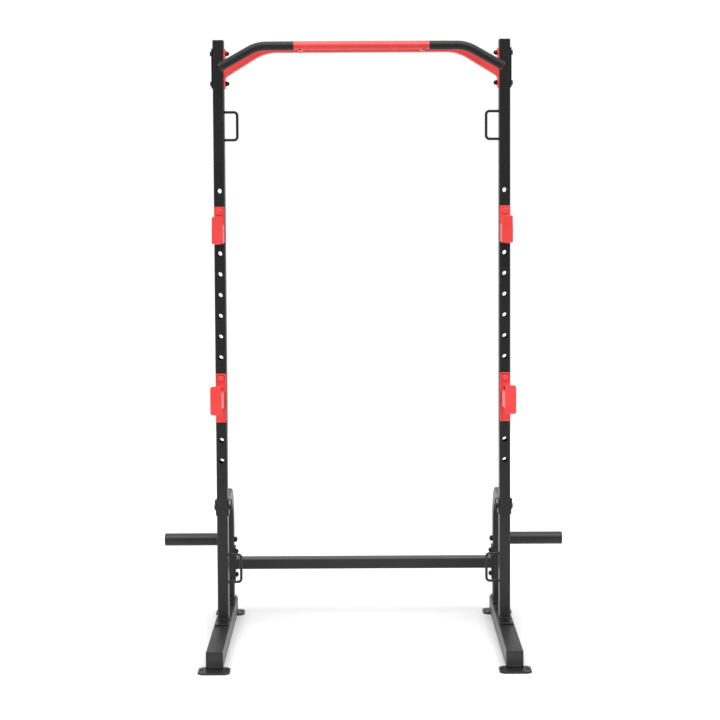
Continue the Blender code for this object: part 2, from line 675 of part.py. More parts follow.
def spotter_bracket():
    """Pressed back plate: a shallow tray, open to the front."""
    tray = vertical_plate(plate_outline(SPOTTER_WIDTH, SPOTTER_PLATE_Z, 0.005),
                          SPOTTER_RIM, -GAP - SPOTTER_RIM)
    low, high = SPOTTER_PLATE_Z
    wall = SPOTTER_RIM_WALL
    pocket = plate_outline(SPOTTER_WIDTH - 2 * wall, (low + wall, high - wall),
                           SPOTTER_POCKET_CORNER)
    depth = SPOTTER_RIM - SPOTTER_BACK + PAST
    return tray, vertical_plate(pocket, depth, -GAP - SPOTTER_BACK - depth)


def spotter_tube():
    """Arm between the bracket and the lip, rising towards the front, with upright ends."""
    front, back = SPOTTER_LIP_Y + PLATE / 2, -GAP - SPOTTER_BACK / 2
    run = back - front
    length = run / math.cos(SPOTTER_SLOPE) + 2 * PAST
    tube = square_tube(SPOTTER_ARM_WIDTH, SPOTTER_ARM_HEIGHT, SPOTTER_ARM_WALL, length)
    tube.transform(Matrix.Rotation(math.pi / 2 - SPOTTER_SLOPE, 4, "X"))
    middle_z = SPOTTER_ARM_Z + run / 2 * math.tan(SPOTTER_SLOPE)
    tube.transform(Matrix.Translation((0, (front + back) / 2, middle_z)))
    room = box((-SPOTTER_WIDTH, front, -run), (SPOTTER_WIDTH, back, run))
    return combined(tube, [("INTERSECT", room)])


def spotter_arm(side, sign):
    parent = slide_empty(f"{side}_spotter_arm_slide", sign, SPOTTER_HOLE)
    tray, pocket = spotter_bracket()
    lip = vertical_plate(plate_outline(SPOTTER_LIP_WIDTH, SPOTTER_LIP_Z, SPOTTER_LIP_CORNER),
                         PLATE, SPOTTER_LIP_Y)
    hole = cylinder(PIN_RADIUS + GAP, (0, -PAST, 0), (0, PAST, 0))
    sight = cylinder(SPOTTER_SIGHT_RADIUS, (0, -PAST, SPOTTER_SIGHT_Z),
                     (0, PAST, SPOTTER_SIGHT_Z), BORE)
    arm_low = SPOTTER_ARM_Z - SPOTTER_ARM_HEIGHT
    vent = cylinder(SPOTTER_VENT_RADIUS, (0, SPOTTER_VENT_Y, arm_low),
                    (0, SPOTTER_VENT_Y, SPOTTER_ARM_Z), BORE)
    steps = [("DIFFERENCE", pocket), ("UNION", spotter_tube()), ("UNION", lip),
             ("DIFFERENCE", hole), ("DIFFERENCE", sight), ("DIFFERENCE", vent)]
    item = add_object(f"{side}_spotter_arm", combined(tray, steps), RED_COAT)
    item.parent = parent
    pin(f"{side}_spotter_arm_pin", parent, GAP + SPOTTER_BACK)


# Fasteners

def hex_prism(across_flats, low, high):
    return cylinder(across_flats / math.sqrt(3), (0, 0, low), (0, 0, high), 6)


def bolt_and_nut(size, grip, dome=False):
    """Tightened bolt: head and washer above Z = 0, the shank, and the nut below -grip."""
    radius, flats = size
    head, nut = HEAD_PER_RADIUS * radius, NUT_PER_RADIUS * radius
    stub = 0 if dome else BOLT_STUB
    washer_radius = WASHER_PER_HEAD * flats / math.sqrt(3)
    washer = cylinder(washer_radius, (0, 0, 0), (0, 0, WASHER), ROUND)
    steps = [("UNION", hex_prism(flats, WASHER / 2, WASHER + head)),
             ("UNION", cylinder(radius, (0, 0, -grip - nut - stub), (0, 0, WASHER / 2), BORE)),
             ("UNION", hex_prism(flats, -grip - nut, -grip))]
    if dome:
        steps.append(("UNION", half_ball(flats / 2 - WELD, -grip - nut + WELD)))
    return combined(washer, steps)


def half_ball(radius, z):
    """Lower half of a ball, its flat face at height z."""
    bm = bmesh.new()
    bmesh.ops.create_uvsphere(bm, u_segments=12, v_segments=6, radius=radius)
    lower = bmesh.ops.bisect_plane(bm, geom=bm.verts[:] + bm.edges[:] + bm.faces[:],
                                   plane_co=(0, 0, 0), plane_no=(0, 0, 1), clear_outer=True)
    rim = [edge for edge in lower["geom_cut"] if isinstance(edge, bmesh.types.BMEdge)]
    bmesh.ops.edgeloop_fill(bm, edges=rim)
    bmesh.ops.recalc_face_normals(bm, faces=bm.faces)
    bmesh.ops.translate(bm, vec=(0, 0, z), verts=bm.verts)
    return finish_mesh(bm)


def add_bolt(name, mesh, place, axis):
    """Bolt with its seat at a point and its head along an axis."""
    turn = Vector(axis).to_track_quat("Z", "Y").to_euler()
    add_object(name, mesh.copy(), BOLT_STEEL, place, turn)


def fasteners():
    outer = TUBE_WIDTH / 2 + GAP
    flange_bolt = bolt_and_nut(M10, PLATE + TUBE_WALL + 3 * GAP)
    clamp_bolt = bolt_and_nut(M10, TUBE_WIDTH + 2 * CLAMP_THICKNESS + 4 * GAP)
    crossbar_bolt = bolt_and_nut(M10, TUBE_WIDTH + PLATE + 3 * GAP)
    post_bolt = bolt_and_nut(M12, TUBE_WIDTH + POST_BASE + 3 * GAP)
    pull_up_bolt = bolt_and_nut(M10, TUBE_WIDTH + BACKING + PLATE + 4 * GAP, dome=True)
    front_y, leg_y = FACE_Y + TUBE_DEPTH / 2, FACE_Y + LEG_Y
    up = (0, 0, 1)
    for side, sign in SIDES.items():
        outward = (sign, 0, 0)

        def seat(depth, y, z):
            return (sign * (SIDE_X + depth), y, z)

        add_bolt(f"{side}_upright_flange_bolt", flange_bolt,
                 seat(0, FACE_Y + UPRIGHT_FLANGE_BOLT, COLUMN_Z), up)
        add_bolt(f"{side}_leg_flange_bolt", flange_bolt,
                 seat(0, FACE_Y + LEG_FLANGE_BOLT, COLUMN_Z), up)
        add_bolt(f"{side}_clamp_bolt", clamp_bolt,
                 seat(outer + CLAMP_THICKNESS + GAP, front_y, BRACE_Z), outward)
        add_bolt(f"{side}_storage_post_bolt", post_bolt,
                 seat(outer + POST_BASE + GAP, leg_y, POST_Z), outward)
        for level, offset in (("lower", -1), ("upper", 1)):
            add_bolt(f"{side}_crossbar_{level}_bolt", crossbar_bolt,
                     seat(outer, leg_y, CROSSBAR_Z + offset * CROSSBAR_BOLT_DZ), outward)
            add_bolt(f"{side}_pull_up_{level}_bolt", pull_up_bolt,
                     seat(outer + BACKING + GAP, front_y,
                          PULL_UP_PLATE_Z + offset * PULL_UP_BOLT_DZ), outward)


def side_frame(side, sign):
    x = sign * SIDE_X
    base_skid(side, x)
    foot_pads(side, x)
    skid_caps(side, x)
    upright_flange(side, x)
    upright(side, x)
    rear_leg(side, x)
    storage_post(side, sign)
    band_loops(side, sign)


for side_name, side_sign in SIDES.items():
    side_frame(side_name, side_sign)
    j_hook(side_name, side_sign)
    spotter_arm(side_name, side_sign)
crossbar()
pull_up_beam()
pull_up_plates()
front_bar()
grips()
fasteners()
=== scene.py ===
"""Looks of a free-standing half rack: coated tube, welds, rubber grips, bolts, floor and light.

Metres, in the frame's own axes: +Z up, +Y to the rear, X = 0 the mirror plane. Every piece is
built in place from the box of the CAD node that it stands for. Side pieces are built on the
right, at +X, and mirrored for the left.
"""

import math

import bmesh
import bpy
from mathutils import Matrix, Vector

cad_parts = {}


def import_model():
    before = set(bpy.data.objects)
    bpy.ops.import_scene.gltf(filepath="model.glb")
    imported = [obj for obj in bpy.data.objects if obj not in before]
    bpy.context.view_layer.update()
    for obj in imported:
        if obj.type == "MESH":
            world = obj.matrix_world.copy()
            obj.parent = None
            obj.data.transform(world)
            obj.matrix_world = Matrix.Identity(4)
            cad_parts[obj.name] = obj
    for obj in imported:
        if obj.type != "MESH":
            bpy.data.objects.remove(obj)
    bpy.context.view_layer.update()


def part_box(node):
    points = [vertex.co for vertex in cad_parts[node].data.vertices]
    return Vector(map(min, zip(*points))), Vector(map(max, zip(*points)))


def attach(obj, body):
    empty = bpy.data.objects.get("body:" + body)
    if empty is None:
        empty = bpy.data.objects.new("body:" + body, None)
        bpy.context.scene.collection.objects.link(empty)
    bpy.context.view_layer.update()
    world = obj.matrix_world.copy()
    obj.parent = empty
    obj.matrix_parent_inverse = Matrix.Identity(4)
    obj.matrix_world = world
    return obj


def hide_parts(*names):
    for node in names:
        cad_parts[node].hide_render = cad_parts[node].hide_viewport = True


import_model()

SIDES = {"left": -1, "right": 1}

# Tube and plate
TUBE_CORNER, TUBE_WALL = 0.005, 0.002
SKID, FLAT_TUBE, CROSSBAR_DEPTH = 0.060, 0.040, 0.060
PLATE_SHORT, WELD_SHORT = 0.004, 0.006                  # end plate and weld, short of the tube
PLATE, FOOT_CORNER = 0.005, 0.006
EDGE, TUBE_EDGE, LIP_EDGE = 0.0007, 0.0004, 0.0012      # how far cut edges are broken
EDGE_ANGLE, EDGE_SEGMENTS, FACE_WEIGHT = math.radians(38), 2, 80
NEARLY_ROUND = 0.999                                    # corner per half width of a round shape

# Weld beads: radii, and how far a bead's middle line stands off the plate
BEAD, ARM_BEAD, LOOP_BEAD, PIN_BEAD = 0.0024, 0.002, 0.0015, 0.0012
BEAD_OUT = BEAD / 3
RIPPLE = 0.0034                                         # pitch of the ripples
BEAD_WAIST, BEAD_SWELL, BEAD_TIP = 0.86, 0.16, 0.45     # per radius: between, on a ripple, at ends

# Plastic lids
LID, LID_EDGE, LID_INSET, LEAST_CORNER = 0.003, 0.0018, 0.0005, 0.0012
PLUG_DEPTH, PLUG_TAPER, PLUG_GAP = 0.012, 0.001, 0.0004
DISH_START, DISH_SLOPE, DISH_FLAT, DISH_DEPTH = 0.0055, 0.0007, 0.0100, 0.0005

# Holes and slots. The spotter arm's hole is counted up from the lowest, which is 0.
HOLE_PITCH, HOLE_COUNT, HOLE_RADIUS, SPOTTER_HOLE = 0.0762, 14, 0.009, 4
FOOT_CHAMFER, SLOT_X, SLOT_LENGTH, SLOT_RADIUS = 0.014, 0.043, 0.018, 0.004
BOLT_HOLE = 0.0057

# Fasteners: thread radius and width across flats
M10, M12 = (0.005, 0.017), (0.006, 0.019)
WASHER, WASHER_EDGE, STUB, THREAD_PITCH = 0.0015, 0.0004, 0.0025, 0.00125
HEAD_PER_RADIUS, NUT_PER_RADIUS, WASHER_PER_HEAD = 0.95, 1.6, 1.15
HEX_FACE, HEX_CHAMFER = 0.96, math.radians(30)          # flat face per flats, slope of its cone
BURIED = 0.001                                          # how far a shank runs into its nut

# Bends
LEG_BEND, BEAM_BEND, BAR_BEND, LOOP_BEND = 0.120, 0.170, 0.125, 0.012
BEAM_BEND_X, BEAM_SLOPE = 0.355, math.radians(31.5)
BAR_BEND_X, BAR_SLOPE = 0.372, math.radians(29.5)

# Rear leg and its clamp
LEG_PLATE_LENGTH = 0.139
CLAMP_WALL, CLAMP_HEIGHT, CLAMP_BEND, CLAMP_GAP, CLAMP_SETBACK = 0.004, 0.058, 0.0025, 0.0003, 0.004

# Storage post, and its lid
POST_WALL, POST_FLOOR = 0.0025, 0.004
POST_LID_EDGE, POST_PLUG_GAP, POST_PLUG_DEPTH = 0.0028, 0.0003, 0.0125

# Links, front bar and grips
LINK_X, LINK_RADIUS, LINK_DROP = 0.220, 0.0125, 0.008
BAR_PAST_GRIP, GRIP_EDGE, GRIP_GAP = 0.0007, 0.0012, 0.0001

# J-hook and spotter arm
HOOK_ARM_WIDTH, HOOK_ARM_HEIGHT, HOOK_ARM_WALL = 0.036, 0.0655, 0.004
HOOK_LIP_HEIGHT, HOOK_LIP_CHAMFER, HOOK_LIP_TOP, HOOK_CORNER = 0.0995, 0.010, 0.004, 0.003
HOOK_PLATE_DROP, HOOK_ARM_DROP = 0.1125, 0.046
HOOK_ARM_OUTER_BEND, HOOK_ARM_INNER_BEND = 0.0054, 0.0018
SPOTTER_RIM, SPOTTER_RIM_WALL, SPOTTER_BACK = 0.009, 0.003, 0.004
SPOTTER_ARM_WIDTH, SPOTTER_ARM_HEIGHT, SPOTTER_SLOPE = 0.026, 0.060, math.radians(5)
SPOTTER_ARM_DROP, SIGHT_DROP, SIGHT_RADIUS = 0.0768, 0.0395, 0.006
SPOTTER_WIDTH, SPOTTER_PLATE_LOW, SPOTTER_PLATE_HIGH = 0.038, -0.1605, 0.0187
SPOTTER_LIP_HEIGHT, SPOTTER_LIP_TOP, SPOTTER_LIP_CORNER = 0.1022, 0.0009, 0.009
TRAY_EDGE = 0.0006
TRAY_FILLET = ((0.0002, 0.0018), (0.0007, 0.0006), (0.0018, 0.0))   # in from the rim, off the floor
PIN_RADIUS, PIN_HEAD, PIN_DOME = 0.008, 0.007, 0.0036

# Local X, Y and Z of a shape, for each way that its Z may face
FACING = {
    "up": Matrix.Identity(3),
    "front": Matrix(((1, 0, 0), (0, 0, -1), (0, 1, 0))),
    "rear": Matrix(((-1, 0, 0), (0, 0, 1), (0, 1, 0))),
    "right": Matrix(((0, 0, 1), (1, 0, 0), (0, 1, 0))),
    "left": Matrix(((0, 0, -1), (-1, 0, 0), (0, 1, 0))),
}


# Node materials. Noise scales are in cycles per metre, and bump depths in metres.

MIX_COLOURS, MIX_RESULT = (6, 7), 2         # colour sockets of a Mix node
CLOUD_SCALE, PATCH_SCALE, PEEL_SCALE, GRIT_SCALE = 9.0, 70.0, 620.0, 2600.0
PEEL_DEPTH, GRIT_DEPTH, GRIT_ROUGHNESS = 0.00010, 0.00002, 0.06
SCUFF_SCALE, MOTTLE_SCALE, TURNING_SCALE, TURNING_DEPTH = 14.0, 160.0, 1900.0, 0.00003
COAT_WEAR_AND_HIGHLIGHT, MOULDED_WEAR_AND_HIGHLIGHT, STEEL_WEAR_AND_HIGHLIGHT = 0.0012, 0.001, 0.0005     # widths of the worn edges, which are also painted highlights
# The rubbed colour is bare steel on corners and also a painted highlight there.
OXIDE_DARK, OXIDE_PALE, RUBBED_AND_HIGHLIGHT = (0.014, 0.0145, 0.016), (0.034, 0.035, 0.038), (0.15, 0.15, 0.16)


def links(material):
    """Short ways to add and join nodes in a material."""
    tree = material.node_tree

    def node(kind, **settings):
        made = tree.nodes.new("ShaderNode" + kind)
        for key, value in settings.items():
            if key in made.inputs:
                made.inputs[key].default_value = value
            else:
                setattr(made, key, value)
        return made

    def join(source, target):
        tree.links.new(source, target)

    return node, join


def new_material(name, roughness, metallic=0.0, ior=1.5):
    material = bpy.data.materials.new(name)
    material.use_nodes = True
    shader = material.node_tree.nodes["Principled BSDF"]
    shader.inputs["Roughness"].default_value = roughness
    shader.inputs["Metallic"].default_value = metallic
    shader.inputs["IOR"].default_value = ior
    return material, shader


def noise(node, join, coordinates, scale, detail=2.0, roughness=0.5):
    texture = node("TexNoise", Scale=scale, Detail=detail, Roughness=roughness)
    join(coordinates, texture.inputs["Vector"])
    return texture.outputs["Fac"]


def remap(node, join, value, low, high, from_low=0.3, from_high=0.7):
    """A noise value spread over a range."""
    spread = node("MapRange", **{"From Min": from_low, "From Max": from_high,
                                 "To Min": low, "To Max": high})
    join(value, spread.inputs["Value"])
    return spread.outputs["Result"]


def mix_colour(node, join, factor, first, second):
    """Mix of two colours, each a tuple or a socket."""
    mix = node("Mix", data_type="RGBA")
    join(factor, mix.inputs[0])
    for index, colour in zip(MIX_COLOURS, (first, second)):
        if isinstance(colour, tuple):
            mix.inputs[index].default_value = (*colour, 1.0)
        else:
            join(colour, mix.inputs[index])
    return mix.outputs[MIX_RESULT]


def edge_mask(node, join, width, broken_by):
    """1 on outer edges and corners, 0 on flats, broken up by a noise value."""
    bevel = node("Bevel", samples=4, Radius=width)
    geometry = node("NewGeometry")
    dot = node("VectorMath", operation="DOT_PRODUCT")
    join(bevel.outputs["Normal"], dot.inputs[0])
    join(geometry.outputs["Normal"], dot.inputs[1])
    bent = remap(node, join, dot.outputs["Value"], 1.0, 0.0, from_low=0.90, from_high=0.998)
    product = node("Math", operation="MULTIPLY")
    join(bent, product.inputs[0])
    join(broken_by, product.inputs[1])
    return product.outputs[0]


def bumps(node, join, shader, layers):
    """Height layers of (value, distance, strength), each on top of the one before."""
    normal = None
    for value, distance, strength in layers:
        bump = node("Bump", Distance=distance, Strength=strength)
        join(value, bump.inputs["Height"])
        if normal:
            join(normal, bump.inputs["Normal"])
        normal = bump.outputs["Normal"]
    join(normal, shader.inputs["Normal"])


def powder_coat(name, colour, thin_coat_and_highlight, deep, gloss, ior=1.5):
    """Satin powder coat: orange peel, faint clouding, a fine grit, and lighter edges that are a
    thinner film and also a painted highlight.
    """
    material, shader = new_material(name, 0.4, ior=ior)
    node, join = links(material)
    place = node("TexCoord").outputs["Object"]
    clouds = noise(node, join, place, CLOUD_SCALE, 3.0)
    peel = noise(node, join, place, PEEL_SCALE, 2.0, 0.45)
    grit = noise(node, join, place, GRIT_SCALE, 1.0)
    patches = noise(node, join, place, PATCH_SCALE, 4.0, 0.6)
    # Edges: a thinner, worn coat, which also paints a highlight along them.
    wear_and_highlight = edge_mask(node, join, COAT_WEAR_AND_HIGHLIGHT, remap(node, join, patches, 0.25, 0.85))
    body = mix_colour(node, join, remap(node, join, clouds, 0.0, 1.0), deep, colour)
    join(mix_colour(node, join, wear_and_highlight, body, thin_coat_and_highlight), shader.inputs["Base Color"])
    rough = node("Math", operation="MULTIPLY_ADD")
    join(grit, rough.inputs[0])
    rough.inputs[1].default_value = GRIT_ROUGHNESS
    join(remap(node, join, patches, *gloss), rough.inputs[2])
    join(rough.outputs[0], shader.inputs["Roughness"])
    bumps(node, join, shader, [(peel, PEEL_DEPTH, 0.55), (grit, GRIT_DEPTH, 0.35)])
    return material


def moulded(name, colour, dust_wear_and_highlight, grain, roughness, depth, ior=1.5):
    """Moulded plastic or rubber: a fine leathered grain with pale, dusty scuffs, and pale edges
    that are wear and also a painted highlight.
    """
    material, shader = new_material(name, roughness, ior=ior)
    node, join = links(material)
    place = node("TexCoord").outputs["Object"]
    pebble = node("TexVoronoi", Scale=grain, feature="SMOOTH_F1", Smoothness=0.6)
    join(place, pebble.inputs["Vector"])
    soft = noise(node, join, place, grain * 0.35, 3.0)
    scuffs = noise(node, join, place, SCUFF_SCALE, 4.0, 0.6)
    # Edges: pale wear, which also paints a highlight along them.
    wear_and_highlight = edge_mask(node, join, MOULDED_WEAR_AND_HIGHLIGHT, remap(node, join, scuffs, 0.2, 0.8))
    dusty = mix_colour(node, join, remap(node, join, scuffs, 0.0, 0.55), colour, dust_wear_and_highlight)
    join(mix_colour(node, join, wear_and_highlight, dusty, dust_wear_and_highlight), shader.inputs["Base Color"])
    join(remap(node, join, soft, roughness - 0.06, roughness + 0.08), shader.inputs["Roughness"])
    bumps(node, join, shader, [(pebble.outputs["Distance"], depth, 0.5), (soft, depth * 0.6, 0.3)])
    return material


def bolt_steel(name):
    """Black oxide on steel: dark, oily and a little mottled, with bright corners that are rubbed
    bare and also a painted highlight.
    """
    material, shader = new_material(name, 0.34, metallic=1.0)
    node, join = links(material)
    place = node("TexCoord").outputs["Object"]
    mottle = noise(node, join, place, MOTTLE_SCALE, 4.0, 0.6)
    turning = noise(node, join, place, TURNING_SCALE, 2.0)
    # Corners: rubbed bare steel, which also paints a highlight on them.
    wear_and_highlight = edge_mask(node, join, STEEL_WEAR_AND_HIGHLIGHT, remap(node, join, mottle, 0.3, 0.9))
    oxide = mix_colour(node, join, mottle, OXIDE_DARK, OXIDE_PALE)
    join(mix_colour(node, join, wear_and_highlight, oxide, RUBBED_AND_HIGHLIGHT), shader.inputs["Base Color"])
    join(remap(node, join, mottle, 0.28, 0.44), shader.inputs["Roughness"])
    bumps(node, join, shader, [(turning, TURNING_DEPTH, 0.3)])
    return material


# The lighter edge colours in these finishes are wear and also painted edge highlights.
MATERIALS = {
    "black_coat": powder_coat(
        "black_coat", colour=(0.0108, 0.0110, 0.0117), thin_coat_and_highlight=(0.052, 0.053, 0.056),
        deep=(0.0076, 0.0078, 0.0083), gloss=(0.31, 0.40), ior=1.43),
    "red_coat": powder_coat(
        "red_coat", colour=(0.79, 0.058, 0.054), thin_coat_and_highlight=(0.90, 0.20, 0.18),
        deep=(0.70, 0.045, 0.043), gloss=(0.27, 0.36)),
    "black_plastic": moulded(
        "black_plastic", colour=(0.0115, 0.0115, 0.0122), dust_wear_and_highlight=(0.032, 0.032, 0.034),
        grain=900.0, roughness=0.44, depth=0.00006, ior=1.44),
    "grip_rubber": moulded(
        "grip_rubber", colour=(0.0085, 0.0085, 0.0090), dust_wear_and_highlight=(0.019, 0.019, 0.020),
        grain=700.0, roughness=0.46, depth=0.00007, ior=1.38),
    "foot_rubber": moulded(
        "foot_rubber", colour=(0.012, 0.012, 0.012), dust_wear_and_highlight=(0.034, 0.034, 0.034),
        grain=520.0, roughness=0.72, depth=0.00014),
    "bolt_steel": bolt_steel("bolt_steel"),
}


# Outlines and paths

def round_rectangle(width, height, radius, steps=6):
    """Outline of a rectangle with round corners, anticlockwise."""
    points = []
    for quarter, (sx, sy) in enumerate(((1, 1), (-1, 1), (-1, -1), (1, -1))):
        for step in range(steps + 1):
            angle = (quarter + step / steps) * math.pi / 2
            points.append(Vector((sx * (width / 2 - radius) + radius * math.cos(angle),
                                  sy * (height / 2 - radius) + radius * math.sin(angle))))
    return points


def circle(radius, sides=32, centre=(0, 0)):
    turns = [2 * math.pi * step / sides for step in range(sides)]
    return [Vector((centre[0] + radius * math.cos(turn), centre[1] + radius * math.sin(turn)))
            for turn in turns]


def hexagon(flats, limit, sides=48):
    """Outline of a hexagon whose corners are turned down to a circle."""
    points = []
    for step in range(sides):
        turn = 2 * math.pi * step / sides
        reach = min(flats / 2 / math.cos(turn % (math.pi / 3) - math.pi / 6), limit)
        points.append(Vector((reach * math.cos(turn), reach * math.sin(turn))))
    return points


def moved(outline, x):
    return [point + Vector((x, 0.0)) for point in outline]


def round_path(corners, radius, steps=12):
    """Straight runs between corners, joined by arcs of one radius."""
    corners = [Vector(corner) for corner in corners]
    points = [corners[0]]
    for before, corner, after in zip(corners, corners[1:], corners[2:]):
        back, ahead = (before - corner).normalized(), (after - corner).normalized()
        turn = math.pi - back.angle(ahead)
        tangent = radius * math.tan(turn / 2)
        centre = corner + (back + ahead).normalized() * radius / math.cos(turn / 2)
        first = corner + back * tangent - centre
        across = (corner + ahead * tangent - centre) - first * math.cos(turn)
        across = across.normalized() * radius
        for step in range(steps + 1):
            angle = turn * step / steps
            points.append(centre + first * math.cos(angle) + across * math.sin(angle))
    points.append(corners[-1])
    return points


def even_path(points, spacing, closed):
    """The same path with its points a fixed distance apart, and how far along each one is."""
    points = [Vector(point) for point in points]
    if closed:
        points.append(points[0])
    lengths = [(b - a).length for a, b in zip(points, points[1:])]
    count = max(2, round(sum(lengths) / spacing))
    step = sum(lengths) / count
    made, leg, start = [], 0, 0.0
    for index in range(count if closed else count + 1):
        along = index * step
        while leg < len(lengths) - 1 and along > start + lengths[leg]:
            start += lengths[leg]
            leg += 1
        part = (along - start) / lengths[leg] if lengths[leg] else 0.0
        made.append(points[leg].lerp(points[leg + 1], min(part, 1.0)))
    return made, [index * step for index in range(len(made))]


# Meshes

def finish_mesh(bm):
    bmesh.ops.recalc_face_normals(bm, faces=bm.faces)
    mesh = bpy.data.meshes.new("shape")
    bm.to_mesh(mesh)
    bm.free()
    return mesh


def joined(meshes):
    """Several meshes as one, left as separate bodies."""
    bm = bmesh.new()
    for mesh in meshes:
        bm.from_mesh(mesh)
    return finish_mesh(bm)


def shell(rings, inner=None, hoop=False):
    """Skin over rings of points: closed in a hoop, hollow with inner rings, or capped flat."""
    bm = bmesh.new()
    skins = [[[bm.verts.new(point) for point in ring] for ring in skin]
             for skin in (rings, inner) if skin]
    for skin in skins:
        pairs = list(zip(skin, skin[1:])) + ([(skin[-1], skin[0])] if hoop else [])
        for first, second in pairs:
            join_rings(bm, first, second)
    if inner:
        for end in (0, -1):
            join_rings(bm, skins[0][end], skins[1][end])
    elif not hoop:
        for end in (0, -1):
            bm.faces.new(skins[0][end])
    return finish_mesh(bm)


def join_rings(bm, first, second):
    for index, vertex in enumerate(first):
        after = (index + 1) % len(first)
        bm.faces.new((vertex, first[after], second[after], second[index]))


def stack(layers, base, facing="up"):
    """Rings of points from (outline, height) layers, stood on a base point."""
    turn = FACING[facing]
    return [[Vector(base) + turn @ Vector((point.x, point.y, height)) for point in outline]
            for outline, height in layers]


def lathe(profile, base, facing, sides=32):
    """Body turned from (radius, height) points, capped flat at both ends."""
    return shell(stack([(circle(radius, sides), height) for radius, height in profile],
                       base, facing))


def plate(outlines, thickness, base, facing="up"):
    """Outlines, outer one first, cut from plate that rises from a base point."""
    curve = bpy.data.curves.new("outline", "CURVE")
    curve.dimensions = "2D"
    curve.fill_mode = "BOTH"
    curve.extrude = thickness / 2
    for outline in outlines:
        spline = curve.splines.new("POLY")
        spline.points.add(len(outline) - 1)
        for target, point in zip(spline.points, outline):
            target.co = (point[0], point[1], 0.0, 1.0)
        spline.use_cyclic_u = True
    mesh = evaluated(bpy.data.objects.new("guide", curve))
    bm = bmesh.new()
    bm.from_mesh(mesh)
    bmesh.ops.remove_doubles(bm, verts=bm.verts, dist=0.00001)
    bmesh.ops.dissolve_limit(bm, angle_limit=math.radians(0.5), verts=bm.verts, edges=bm.edges)
    mesh = finish_mesh(bm)
    mesh.transform(Matrix.Translation((0, 0, thickness / 2)))
    mesh.transform(Matrix.Translation(base) @ FACING[facing].to_4x4())
    return mesh


def evaluated(item):
    """Mesh of an object with its modifiers or curve settings applied; the object is removed."""
    bpy.context.scene.collection.objects.link(item)
    bpy.context.view_layer.update()
    graph = bpy.context.evaluated_depsgraph_get()
    mesh = bpy.data.meshes.new_from_object(item.evaluated_get(graph))
    bpy.data.objects.remove(item)
    return mesh


def cut(mesh, cutters):
    """Mesh with closed cutters taken away."""
    item = bpy.data.objects.new("cut", mesh)
    tool = bpy.data.objects.new("cutter", joined(cutters))
    bpy.context.scene.collection.objects.link(tool)
    modifier = item.modifiers.new("cut", "BOOLEAN")
    modifier.operation = "DIFFERENCE"
    modifier.solver = "EXACT"
    modifier.object = tool
    mesh = evaluated(item)
    bpy.data.objects.remove(tool)
    return mesh


def sweep_rings(path, section, normal, scales=None, closed=False):
    """Rings of a section carried along a flat path; section X lies along the path's normal."""
    normal = Vector(normal)
    rings = []
    for index, point in enumerate(path):
        before = path[index - 1] if closed or index else point
        after = path[(index + 1) % len(path)] if closed or index < len(path) - 1 else point
        tangent = ((after - point).normalized() + (point - before).normalized()).normalized()
        across = tangent.cross(normal)
        scale = scales[index] if scales else 1.0
        rings.append([point + scale * (normal * spot.x + across * spot.y) for spot in section])
    return rings


def bead(points, normal, closed=False, radius=BEAD):
    """Weld bead along a flat path, with overlapping ripples and tapered ends."""
    path, along = even_path(points, RIPPLE / 4, closed)
    scales = []
    for distance in along:
        ripple = BEAD_WAIST + BEAD_SWELL * abs(math.sin(math.pi * distance / RIPPLE))
        from_end = min(distance, along[-1] - distance)
        taper = 1.0 if closed else min(1.0, BEAD_TIP + from_end / RIPPLE)
        scales.append(ripple * taper)
    return shell(sweep_rings(path, circle(radius, 8), normal, scales, closed), hoop=closed)


def bead_loop(width, depth, corner, base, facing="up", radius=BEAD):
    """Weld bead round the foot of a tube that stands on a base point."""
    ring = stack([(round_rectangle(width, depth, corner, 4), 0.0)], base, facing)[0]
    return bead(ring, FACING[facing] @ Vector((0, 0, 1)), closed=True, radius=radius)


def round_bead(radius, base, facing, bead_radius=BEAD):
    """Weld bead round the foot of a round bar that stands on a base point."""
    return bead_loop(2 * radius, 2 * radius, NEARLY_ROUND * radius, base, facing, bead_radius)


# Pieces

def mirrored(mesh):
    copy = mesh.copy()
    copy.transform(Matrix.Scale(-1, 4, Vector((1, 0, 0))))
    copy.flip_normals()
    return copy


def add_piece(name, mesh, slot, body="frame", stands_for=(), edge=None, sharp=None):
    """Put a mesh on a body, with its finish and the CAD nodes that it stands for."""
    item = bpy.data.objects.new(name, mesh)
    bpy.context.scene.collection.objects.link(item)
    mesh.materials.clear()
    mesh.materials.append(MATERIALS[slot])
    mesh.shade_smooth()
    if sharp:
        mesh.set_sharp_from_angle(angle=math.radians(sharp))
    if edge:
        bevel = item.modifiers.new("edges", "BEVEL")
        bevel.width = edge
        bevel.segments = EDGE_SEGMENTS
        bevel.limit_method = "ANGLE"
        bevel.angle_limit = EDGE_ANGLE
        bevel.use_clamp_overlap = True
        weighted = item.modifiers.new("normals", "WEIGHTED_NORMAL")
        weighted.weight = FACE_WEIGHT
        weighted.keep_sharp = False
    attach(item, body)
    if stands_for:
        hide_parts(*stands_for)


def on_both_sides(name, mesh, slot, body=None, node=None, **looks):
    """A piece on the right and its mirror image on the left; body and node are without side."""
    for side, sign in SIDES.items():
        add_piece(f"{side}_{name}", mesh if sign > 0 else mirrored(mesh), slot,
                  f"{side}_{body}" if body else "frame",
                  [f"{side}_{node}"] if node else (), **looks)


def box(node):
    low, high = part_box(node)
    return Vector(low), Vector(high)


def right_box(node):
    return box("right_" + node)


def middle(node):
    low, high = right_box(node)
    return (low + high) / 2


def tube_section(width, depth, wall=0.0):
    """Outline of a rectangular tube, or of its bore when a wall is given."""
    return round_rectangle(width - 2 * wall, depth - 2 * wall, TUBE_CORNER - wall)


def tube(width, depth, low, high, facing="up"):
    """Straight tube between two points, open at both ends, with its length on local Z."""
    length = (Vector(high) - Vector(low)).length
    skins = []
    for wall in (0.0, TUBE_WALL):
        section = tube_section(width, depth, wall)
        skins.append(stack([(section, 0.0), (section, length)], low, facing))
    return shell(*skins)


